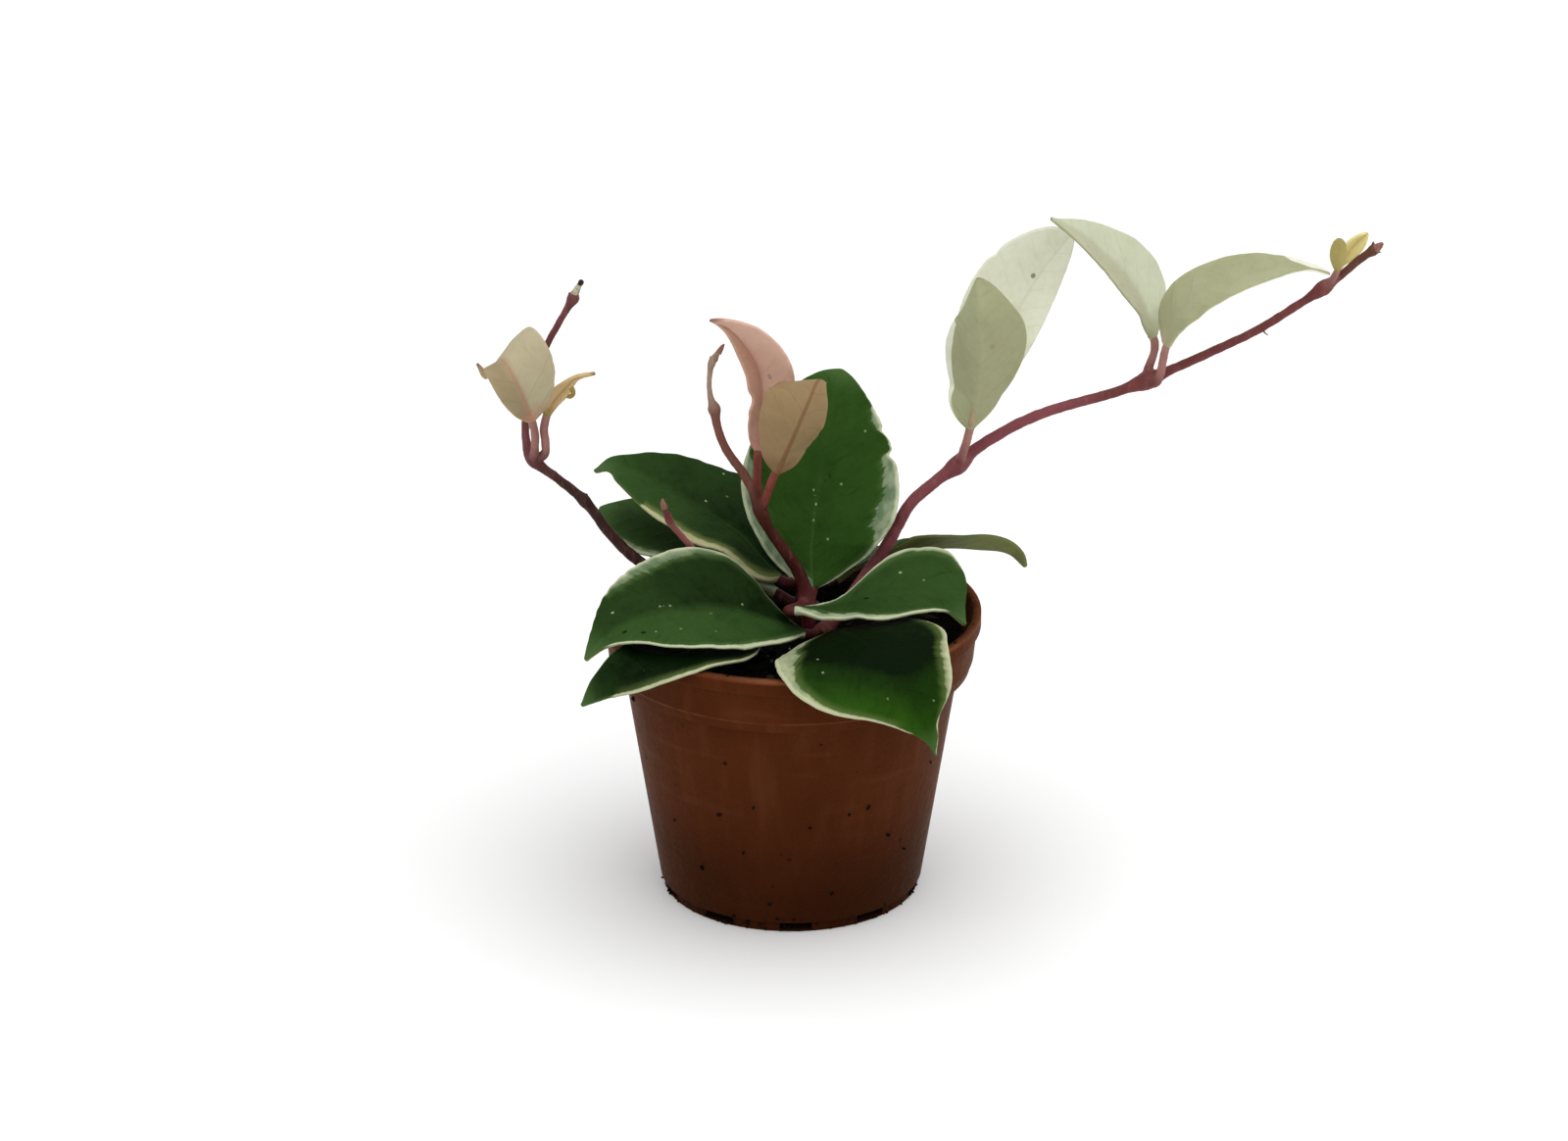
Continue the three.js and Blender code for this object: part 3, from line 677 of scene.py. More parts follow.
class PLANT_OT_soil(bpy.types.Operator):
    """Fill the pot with moist soil, crumbs, bark, fibres and white grains"""

    bl_idname = "plant.soil"
    bl_label = "Soil"

    RING = 1.1
    SIDES = 150
    RIM_CRUMBS = 26
    FOOT_CRUMBS = 90
    # Splashes on the pot's wall: degrees to the right of the front, height and size in millimetres.
    SPLASHES = (
        (-28, 36, 0.8), (-14, 40, 0.6), (30, 38, 0.7), (7, 34, 0.5), (41, 27, 0.8), (-39, 17, 0.9),
        (-71, 61, 0.8), (-19, 25, 0.5), (22, 37, 0.5), (-9, 9, 0.6), (52, 20, 0.5), (-52, 29, 0.5),
        (63, 44, 0.5), (17, 12, 0.6), (150, 30, 0.7), (200, 46, 0.6), (235, 22, 0.8), (118, 15, 0.6),
    )

    def execute(self, context):
        soil, pot = context.scene.plant_soil, context.scene.plant_pot
        top = pot.collar_radius / MM - pot.wall / MM - 0.1
        body = pot.shoulder_radius / MM - pot.wall / MM - 0.7
        bottom = pot.base_radius / MM - 3
        level = soil.level / MM
        ledge = (pot.height - pot.collar_height) / MM + 2.4
        shape = bmesh.new()
        rings = round(top / self.RING)
        profile = [(0, 1.9), (bottom, 1.9), (body, ledge - 2.6), (body, ledge), (top, ledge)]
        profile += [(top * (1 - ring / rings), level) for ring in range(rings + 1)]
        section(shape, profile)
        spin(shape, self.SIDES)
        for vert in shape.verts:
            if vert.co.z > level - 0.1:
                vert.co.z = soil_surface(soil, vert.co.x, vert.co.y)
        earth = piece("potting_soil", shape, "soil", slot="soil")
        earth.data.materials.append(soil_material(soil, "moist_soil"))
        self.scatter(soil, pot, top)
        return {"FINISHED"}

    def scatter(self, soil, pot, top):
        generator = random.Random(11)

        def somewhere(lift):
            angle = generator.uniform(0, 2 * math.pi)
            radius = (top - 1.5) * math.sqrt(generator.random())
            x, y = radius * math.cos(angle), radius * math.sin(angle)
            return Vector((x, y, soil_surface(soil, x, y) + lift))

        loose = piece("soil_crumbs", self.crumbs(soil, pot, generator, somewhere), slot="soil")
        loose.data.materials.append(soil_material(soil, "soil_crumb"))

        bark = bmesh.new()
        for _ in range(soil.bark):
            grain_mesh(bark, somewhere(0.5), generator.uniform(1.2, 2.6), generator, 2, 0.35)
        chips = piece("bark_chips", bark, slot="soil")
        chips.data.materials.append(bark_material(soil))

        white = bmesh.new()
        for _ in range(soil.perlite):
            size = generator.uniform(0.4, 1.15)
            grain_mesh(white, somewhere(size * 0.3), size, generator, 2)
        grains = piece("perlite", white, slot="soil")
        grains.data.materials.append(perlite_material())

        fibre = piece("root_fibres", self.fibres(soil, top, generator, somewhere), slot="soil")
        fibre.data.materials.append(bark_material(soil, "dry_fibre"))

    def crumbs(self, soil, pot, generator, somewhere):
        """Loose crumbs on the soil, on the rim, round the foot and splashed on the wall."""

        def round_pot(angle, radius, height):
            return Vector((radius * math.cos(angle), radius * math.sin(angle), height))

        shape = bmesh.new()
        for _ in range(soil.crumbs):
            size = generator.uniform(0.35, 1.3)
            grain_mesh(shape, somewhere(size * 0.3), size, generator)
        for _ in range(self.RIM_CRUMBS):
            angle = generator.uniform(0, 2 * math.pi)
            radius = pot.rim_radius / MM - generator.uniform(0.8, 1.9)
            size = generator.uniform(0.2, 0.5)
            grain_mesh(shape, round_pot(angle, radius, pot.height / MM + size * 0.3), size, generator)
        for _ in range(self.FOOT_CRUMBS):
            angle = generator.uniform(0, 2 * math.pi)
            height = 5 * generator.random() ** 2
            radius = pot.base_radius / MM + 0.1 * height - (0.8 if height < pot.foot_height / MM else 0)
            size = generator.uniform(0.2, 0.6)
            grain_mesh(shape, round_pot(angle, radius, max(height, size)), size, generator, 1, 0.7)
        splashes = random.Random(23)
        ledge = (pot.height - pot.collar_height) / MM
        for degrees, height, size in self.SPLASHES:
            radius = mix(pot.base_radius, pot.shoulder_radius, height / ledge) / MM
            turn = Matrix.Rotation(math.radians(degrees), 3, "Z")
            grain_mesh(shape, turn @ Vector((0, -radius, height)), size, splashes, 2, 0.5)
        return shape

    @staticmethod
    def fibres(soil, top, generator, somewhere):
        """Short root fibres that wander over the soil and turn back at the pot's wall."""
        shape = bmesh.new()
        for _ in range(soil.fibres):
            points = [somewhere(0.6)]
            heading = generator.uniform(0, 2 * math.pi)
            for _ in range(4):
                heading += generator.uniform(-0.7, 0.7)
                reach = generator.uniform(1.2, 2.6)
                x = points[-1].x + reach * math.cos(heading)
                y = points[-1].y + reach * math.sin(heading)
                if math.hypot(x, y) > top - 1:
                    heading += math.pi
                    x, y = points[-1].x, points[-1].y + 0.5
                points.append(Vector((x, y, soil_surface(soil, x, y) + generator.uniform(0.3, 1.1))))
            tube(shape, Route(points), lambda share: 0.16 * (1 - 0.6 * share), 5, 0.9)
        return shape


def soil_material(soil, name):
    s = Surface(name)
    place = s.place()
    patches = s.spread(s.noise(place, 5 * MM, 5, 0.65), 0.4, 0.72)
    # The near black of the wet soil is partly painted shade.
    base = s.blend(patches, soil.wet, soil.dry)
    fine = s.noise(place, 0.7 * MM, 4, 0.7)
    base = s.over(base, shade(soil.wet, 0.4), s.spread(fine, 0.5, 0.75, 0, 0.5))
    wet = s.spread(s.noise(place, 9 * MM, 2), 0.4, 0.6, 0.95, 0.6)
    return s.finish(base, wet, s.bumps((fine, 0.0006)), Specular_IOR_Level=0.05)


def bark_material(soil, name="bark"):
    s = Surface(name)
    place = s.place()
    grain = s.noise(s.stretch(place, (1, 4, 1)), 1.2 * MM, 4, 0.6)
    base = s.blend(s.spread(grain, 0.35, 0.65), soil.dry, shade(soil.dry, 2.4))
    return s.finish(base, 0.8, s.bumps((grain, 0.0003)), Specular_IOR_Level=0.1)


def perlite_material():
    s = Surface("perlite")
    place = s.place()
    pores = s.noise(place, 0.4 * MM, 4, 0.7)
    base = s.blend(s.spread(pores, 0.4, 0.7), paint(150, 142, 128), paint(96, 88, 76))
    return s.finish(base, 0.85, s.bumps((pores, 0.0002)))


# Stems

# Each vine in millimetres: its route from inside the soil to its growing tip, its radii at shares of its
# length, its swollen nodes as place, swelling and reach, and the colours of its bark at shares of its length.
VINES = {
    "vine_left": dict(
        route=[(-7, 1, 60), (-8, 1, 73), (-13, 3, 78), (-28, 7, 83.5), (-43, 10, 92.4), (-50, 11, 99.4),
               (-57.2, 12, 109), (-64.1, 12, 115.2), (-71.2, 12.4, 121.2), (-73, 14, 125.6),
               (-73.2, 16, 130.5), (-71.5, 18, 138.7), (-68.1, 18, 150.2), (-64.4, 18, 157.6),
               (-60.1, 18, 165.2), (-58.5, 18, 168)],
        radii=[(0, 1.9), (1, 0.9)],
        knots=[((-8, 1, 76), 0.9, 3), ((-57.2, 12, 109), 0.4, 2), ((-71.2, 12.4, 121.2), 0.9, 3),
               ((-59.7, 18, 166), 0.9, 2)],
        bark=[(0, "wood"), (0.57, "wood"), (0.7, "dusky"), (1, "dusky")],
        slot="woody_stem",
    ),
    "vine_middle": dict(
        route=[(5, 2, 60), (5, 2, 73), (4.4, 1, 82.5), (3.6, 0.6, 88), (1.7, 0, 93.2), (-1.8, -2, 99.6),
               (-6.1, -4, 106.9), (-8.5, -6, 113.2), (-10.8, -6, 119.6), (-13.4, -6, 124.5),
               (-16.2, -6, 128.4), (-18.7, -5, 132.6), (-20.1, -5, 137.1), (-21, -4, 142),
               (-22.1, -4, 145.8), (-22.2, -3, 150.7), (-21.4, -3, 155.2), (-18.8, -2, 158.7)],
        radii=[(0, 2), (0.8, 1.15), (0.88, 0.78), (1, 0.72)],
        knots=[((4.4, 1, 83), 0.8, 3), ((-8.4, -5.8, 113), 0.7, 3), ((-21, -4, 142), 0.8, 1.6),
               ((-21.4, -3, 155.2), 0.4, 1.5)],
        bark=[(0, "crimson"), (0.22, "crimson"), (0.3, "maroon"), (0.5, "maroon"), (0.68, "brown"),
              (0.8, "brown"), (0.88, "tan"), (1, "tan")],
        slot="stem",
    ),
    "vine_right": dict(
        route=[(8, -1, 60), (9, -1, 74), (13, 3, 79), (17, 5, 83.8), (21.7, 7, 90.4), (26, 7.5, 96.7),
               (29.3, 8, 103.1), (32.8, 8, 109.6), (38.8, 8.2, 115.4), (45.6, 8.5, 120.7),
               (50.6, 8.7, 125.4), (56, 9, 129), (64.1, 9, 133.7), (72.7, 9.3, 137.1), (81.2, 9.6, 139.5),
               (89.8, 10, 142), (97, 11, 144.5), (103.5, 11.5, 147.4), (111.1, 12, 150.8),
               (119.6, 12.3, 154.8), (128.1, 12.6, 159.2), (136.5, 13, 164.7), (144.5, 13, 170.4),
               (149.5, 13, 174.4), (154.7, 13, 179.1), (159.3, 13, 182.4)],
        radii=[(0, 1.8), (1, 1.1)],
        knots=[((9, -1, 76), 0.9, 3), ((46, 8.5, 121), 1.1, 3.5), ((97.3, 11, 144.6), 1.3, 4),
               ((144.8, 13, 170.4), 1, 3), ((158.5, 13, 181.8), 0.6, 1.6)],
        bark=[(0, "crimson"), (0.06, "crimson"), (0.16, "rose"), (0.52, "rose"), (0.62, "wine"),
              (0.9, "wine"), (1, "umber")],
        slot="stem",
    ),
    "vine_back": dict(
        route=[(2, 14, 60), (2, 14, 72), (3, 13, 80), (3, 12.5, 87)],
        radii=[(0, 1.9), (1, 1.3)],
        knots=[((2, 13.5, 77), 0.8, 3), ((3, 13, 84), 0.8, 3)],
        bark=[(0, "wood"), (1, "maroon")],
        slot="stem",
    ),
    "shoot_young": dict(
        route=[(-19, 11.5, 60), (-19, 11.5, 73), (-20.5, 9.5, 81), (-23.5, 6, 90.6), (-28, 2.2, 99.6),
               (-33.2, 0, 107.3), (-35.2, -0.4, 113.2)],
        radii=[(0, 1.6), (0.6, 1.1), (0.85, 0.85), (1, 0.75)],
        knots=[((-33.6, -0.1, 108.2), 0.4, 1.4)],
        bark=[(0, "rose"), (0.6, "rose"), (0.72, "blush"), (0.86, "blush"), (0.93, "crimson"),
              (1, "brown")],
        slot="stem",
    ),
}


def colour_along(points, share):
    """The colour at a share of the length between the listed (share, colour) points."""
    return [along_points([(at, colour[part]) for at, colour in points], share) for part in range(3)]


# The share of a leaf's length that its stalk runs on for under the blade.
UNDER_BLADE = 0.15


def stalk_route(leaf):
    """From the leaf's node on the stem to its foot, and on under the blade as its rib."""
    rib = Route(leaf["rib"])
    foot, along = rib.at(0)
    start = Vector(leaf["start"])
    reach = (foot - start).length * 0.4
    leave = Vector(leaf["leave"]).normalized() if "leave" in leaf else (foot - start).normalized()
    a, b, c, d = start, start + leave * reach, foot - along * reach, foot
    points = []
    for step in range(5):
        t = step / 4
        points.append((1 - t) ** 3 * a + 3 * t * (1 - t) ** 2 * b + 3 * t * t * (1 - t) * c + t**3 * d)
    for share in (0.04, 0.09, UNDER_BLADE):
        place, up, _ = blade_place(leaf, rib, share, 0)
        points.append(place - up * (0.45 * leaf["thick"] + 2.2 * share))
    return Route(points)


class PLANT_OT_stems(bpy.types.Operator):
    """Grow the vines with their nodes and the stalks of their leaves"""

    bl_idname = "plant.stems"
    bl_label = "Stems and Stalks"

    SMOOTHINGS = 4
    # Points in millimetres, and for the buds their radius.
    SHEATH = ((-59.4, 18, 167), (-58.6, 18, 168.5), (-57.9, 18, 169.9))
    BLACK_END = ((-57.9, 18, 169.7), (-57.5, 18, 170.5), (-57.1, 18, 171.3))
    SPUR = ((128.6, 12.4, 158.9), (129.5, 12, 157.9), (130.2, 11.8, 157.5))
    BUDS = (
        (((-20.9, -3, 155.6), (-20.4, -2.8, 156.6), (-19.8, -2.5, 157.6)), 1),
        (((-19.8, -2.6, 157.4), (-19, -2.1, 158.6), (-18.2, -1.8, 159.8)), 0.85),
        (((157.6, 13, 181), (159.2, 13, 182.4), (160.6, 13, 183.6)), 1.45),
        (((-34.6, -0.3, 111.4), (-35.2, -0.4, 113.2), (-35.2, -0.4, 114.3)), 0.95),
    )

    def execute(self, context):
        stems = context.scene.plant_stems
        material = stem_material(stems)
        for name, plan in VINES.items():
            self.grow(name, plan, stems).data.materials.append(material)
        self.tips(stems)
        return {"FINISHED"}

    def grow(self, name, plan, stems):
        shape = bmesh.new()
        route = Route(plan["route"])

        def radius(share):
            place = route.place(share)
            swell = sum(grow * hump((place - Vector(at)).length, reach) for at, grow, reach in plan["knots"])
            tip = math.sqrt(max(0.02, 1 - ease(1 - 2 / route.length, 1, share) ** 2))
            return (along_points(plan["radii"], share) + swell) * tip

        tube(shape, route, radius, 16, 0.9)
        barks = [(share, getattr(stems, bark)) for share, bark in plan["bark"]]
        strands = [(route, barks)]
        for leaf in (leaf for leaf in LEAVES if leaf["vine"] == name):
            way = stalk_route(leaf)
            thick = leaf["stalk"]
            under_blade = UNDER_BLADE * Route(leaf["rib"]).length / way.length

            def stalk_radius(share, thick=thick, start=1 - under_blade):
                return thick * mix(1.2, 0.95, ease(0, 0.3, share)) * mix(1, 0.3, ease(start, 1, share))

            tube(shape, way, stalk_radius, 14, 0.8)
            skin, foot = getattr(stems, leaf["skin"]), getattr(stems, leaf["foot"])
            bark = colour_along(barks, self.nearest(route, Vector(leaf["start"])))
            skins = [(0, bark), (0.4, skin), (1 - 1.2 * under_blade, skin)]
            strands.append((way, [*skins, (1 - 0.6 * under_blade, foot), (1, foot)]))
        self.bracts(shape, plan, route)
        stem = piece(f"{name}_stem", shape, name, slot=plan["slot"])
        grown = stem.modifiers.new("grown_together", "REMESH")
        grown.mode = "VOXEL"
        grown.voxel_size = stems.voxel
        with_modifiers_applied(stem)
        self.relax(stem)
        self.mark(stem, plan, strands)
        return stem

    def bracts(self, shape, plan, route):
        """Small scales that stand beside each node."""
        generator = random.Random(len(plan["route"]))
        for at, _, _ in plan["knots"]:
            for side in (-1, 1):
                place, along = route.at(self.nearest(route, Vector(at)))
                across = along.orthogonal().normalized()
                across.rotate(Matrix.Rotation(generator.uniform(0, 3) + side, 3, along))
                root = place + across * (plan["radii"][-1][1] * 0.8)
                tip = root + across * generator.uniform(1.1, 1.7) + along * generator.uniform(0.6, 1.4)
                way = Route([root, root.lerp(tip, 0.5) + along * 0.2, tip])
                tube(shape, way, lambda part: 0.62 * (1 - 0.75 * part), 8, 0.4)

    @staticmethod
    def nearest(route, place):
        return min((step / 200 for step in range(201)), key=lambda share: (route.place(share) - place).length)

    def relax(self, stem):
        """Smooths the grown surface and gives it faint lengthwise dents."""
        shape = bmesh.new()
        shape.from_mesh(stem.data)
        for _ in range(self.SMOOTHINGS):
            bmesh.ops.smooth_vert(
                shape, verts=shape.verts, factor=0.5, use_axis_x=True, use_axis_y=True, use_axis_z=True
            )
        shape.normal_update()
        for vert in shape.verts:
            place = vert.co / MM
            dent = noise.noise(Vector((place.x * 0.5, place.y * 0.5, place.z * 0.28)))
            fine = noise.noise(place * 1.3 + Vector((5, 5, 5)))
            vert.co += vert.normal * (0.14 * dent + 0.05 * fine + 0.06) * MM
        shape.to_mesh(stem.data)
        shape.free()
        stem.data.shade_smooth()

    @staticmethod
    def mark(stem, plan, strands):
        """Stores on each point the bark's colour there and how near a node it is."""
        samples = []
        for route, barks in strands:
            count = round(route.length)
            for step in range(count + 1):
                share = step / count
                samples.append((route.place(share), Vector(colour_along(barks, share))))
        tree = KDTree(len(samples))
        for number, (place, _) in enumerate(samples):
            tree.insert(place, number)
        tree.balance()
        knots, colours = [], []
        for vert in stem.data.vertices:
            place = vert.co / MM
            near = tree.find_n(place, 4)
            bark = sum((samples[number][1] for _, number, _ in near), Vector()) / len(near)
            colours += [*bark, 1.0]
            near_knots = (hump((place - Vector(at)).length, reach * 0.75) for at, _, reach in plan["knots"])
            knots.append(max(near_knots))
        stem.data.attributes.new("bark", "FLOAT_COLOR", "POINT").data.foreach_set("color", colours)
        stem.data.attributes.new("knot", "FLOAT", "POINT").data.foreach_set("value", knots)

    def tips(self, stems):
        """The dry sheath with its black end on the left vine, the buds on the others and a spur."""
        sheath = [(self.SHEATH, lambda share: mix(1.2, 0.75, share))]
        papery = self.shoot("dry_sheath", sheath, 12, 0.5, "cream_leaf")
        papery.data.materials.append(paper_material("dry_sheath", paint(188, 182, 160), paint(128, 116, 96)))

        def blunt(share):
            return 0.8 * math.sqrt(max(0.1, 1 - abs(2 * share - 1) ** 3))

        black = self.shoot("dry_tip", [(self.BLACK_END, blunt)], 12, 0.2, "woody_stem")
        black.data.materials.append(paper_material("dry_tip", paint(48, 48, 42), paint(30, 28, 24)))
        buds = [
            (points, lambda share, thick=thick: thick * math.sqrt(max(0.06, 1 - share**1.6)))
            for points, thick in self.BUDS
        ]
        bud = self.shoot("growing_tips", buds, 12, 0.35, "bud_leaf")
        bud.data.materials.append(paper_material("growing_tip", stems.bud, stems.scar))
        thread = self.shoot("spur", [(self.SPUR, lambda share: mix(0.34, 0.14, share))], 8, 0.3, "stem")
        thread.data.materials.append(paper_material("dry_spur", stems.tan, stems.scar))

    @staticmethod
    def shoot(name, ways, sides, step, slot):
        """A piece made of tubes, each given by its points and its radius at a share of its length."""
        shape = bmesh.new()
        for points, radius in ways:
            tube(shape, Route(points), radius, sides, step)
        return piece(name, shape, slot=slot)


def paper_material(name, light, dark):
    s = Surface(name)
    place = s.place()
    grain = s.noise(s.stretch(place, (1, 1, 0.4)), 0.5 * MM, 3)
    base = s.blend(s.spread(grain, 0.35, 0.7), light, dark)
    return s.finish(base, 0.7, s.bumps((grain, 0.00015)), Specular_IOR_Level=0.1)


def stem_material(stems):
    """Smooth bark in the colours stored along the stem, with faint streaks, pores and rings at the nodes."""
    s = Surface("stem")
    place = s.place()
    bark, knot = s.attribute("bark", "Color"), s.attribute("knot")
    streak = s.noise(s.stretch(place, (1, 1, 0.35)), 1.6 * MM, 3)
    cloud = s.noise(place, 6 * MM, 3)
    base = s.over(bark, s.darkened(bark, (0.5, 0.45, 0.45)), s.spread(cloud, 0.35, 0.7, 0, 0.4))
    base = s.over(base, stems.soft_petiole, s.spread(streak, 0.5, 0.8, 0, 0.22))
    base = s.over(base, stems.scar, s.spread(knot, 0.4, 0.9), s.spread(cloud, 0.35, 0.6, 0.3, 0.7))
    pores = s.maths("LESS_THAN", s.cells(place, 1.5 * MM), s.spread(cloud, 0.4, 0.7, 0.0, 0.14))
    base = s.over(base, stems.scar, pores, 0.35)
    roughness = s.maths("MULTIPLY_ADD", s.noise(place, 1.2 * MM, 3), 0.2, 0.4)
    normal = s.bumps((streak, 0.0002), (s.noise(place, 0.35 * MM, 2), 0.00005))
    return s.finish(
        base, roughness, normal, Subsurface_Weight=0.05, Subsurface_Scale=0.002, Specular_IOR_Level=0.12
    )


# Leaves

# Lengths in millimetres, and shares of a leaf's length. The margin is the blade's thickness there, veins
# leave the rib at a slant, dips pucker the blade, and the rib is a groove above and a ridge below.
TIP_HALF = 0.35
FOLD_ONSET = 0.2
WAVE_ENDS = (0.2, 0.85)
WAVE_SHIFT = 0.37
MARGIN = 0.9
MARK_REACH = 1.8
VEIN_SPACING = 6.2
VEIN_SLANT = 0.8
VEIN_HEIGHT = 0.07
DIP_SIZE = 8
DIP_DEPTH = 0.22
GROOVE_DEPTH = 0.3
RIDGE_HEIGHT = 0.5
EVEN = (0.44, 0.85, 0.95)
BARE = [(0, 0.1), (1, 0)]
PLAIN = [(0, 0), (1, 0)]
# By default, painted shade that darkens a grown leaf towards its foot.
FOOT_SHADE = [(0, 0.55), (0.3, 0.2), (1, 0.05)]
GROWN = dict(
    kind="grown", slot="green_leaf", grid=(22, 92), cup=6, wave=0.5, waves=2.5, thick=1.5, stalk=1.5,
    shape=(EVEN, EVEN), fold=(0, 0), notches=(), teeth=(), marks=(), bands=(BARE, BARE), mint=(0.5, 0.5),
    soft=(0.2, 0.2), warm=0.2, vivid=0.1, rib_light=0.08, deep=(FOOT_SHADE, FOOT_SHADE), slant=(0, 0), skin="petiole",
    foot="petiole",
)
YOUNG = dict(
    kind="pale", slot="pale_leaf", grid=(18, 56), cup=8, wave=0.3, waves=2, thick=1.1, stalk=1.2,
    shape=(EVEN, EVEN), fold=(0, 0), notches=(), teeth=(), marks=(), bands=(BARE, BARE), mint=(0, 0),
    soft=(0, 0), deep=(PLAIN, PLAIN), slant=(0, 0), skin="soft_petiole", foot="blade_foot",
)
TINY = dict(
    YOUNG, kind="straw", slot="bud_leaf", grid=(10, 20), cup=10, wave=0, waves=1, thick=0.9, stalk=0.8,
)
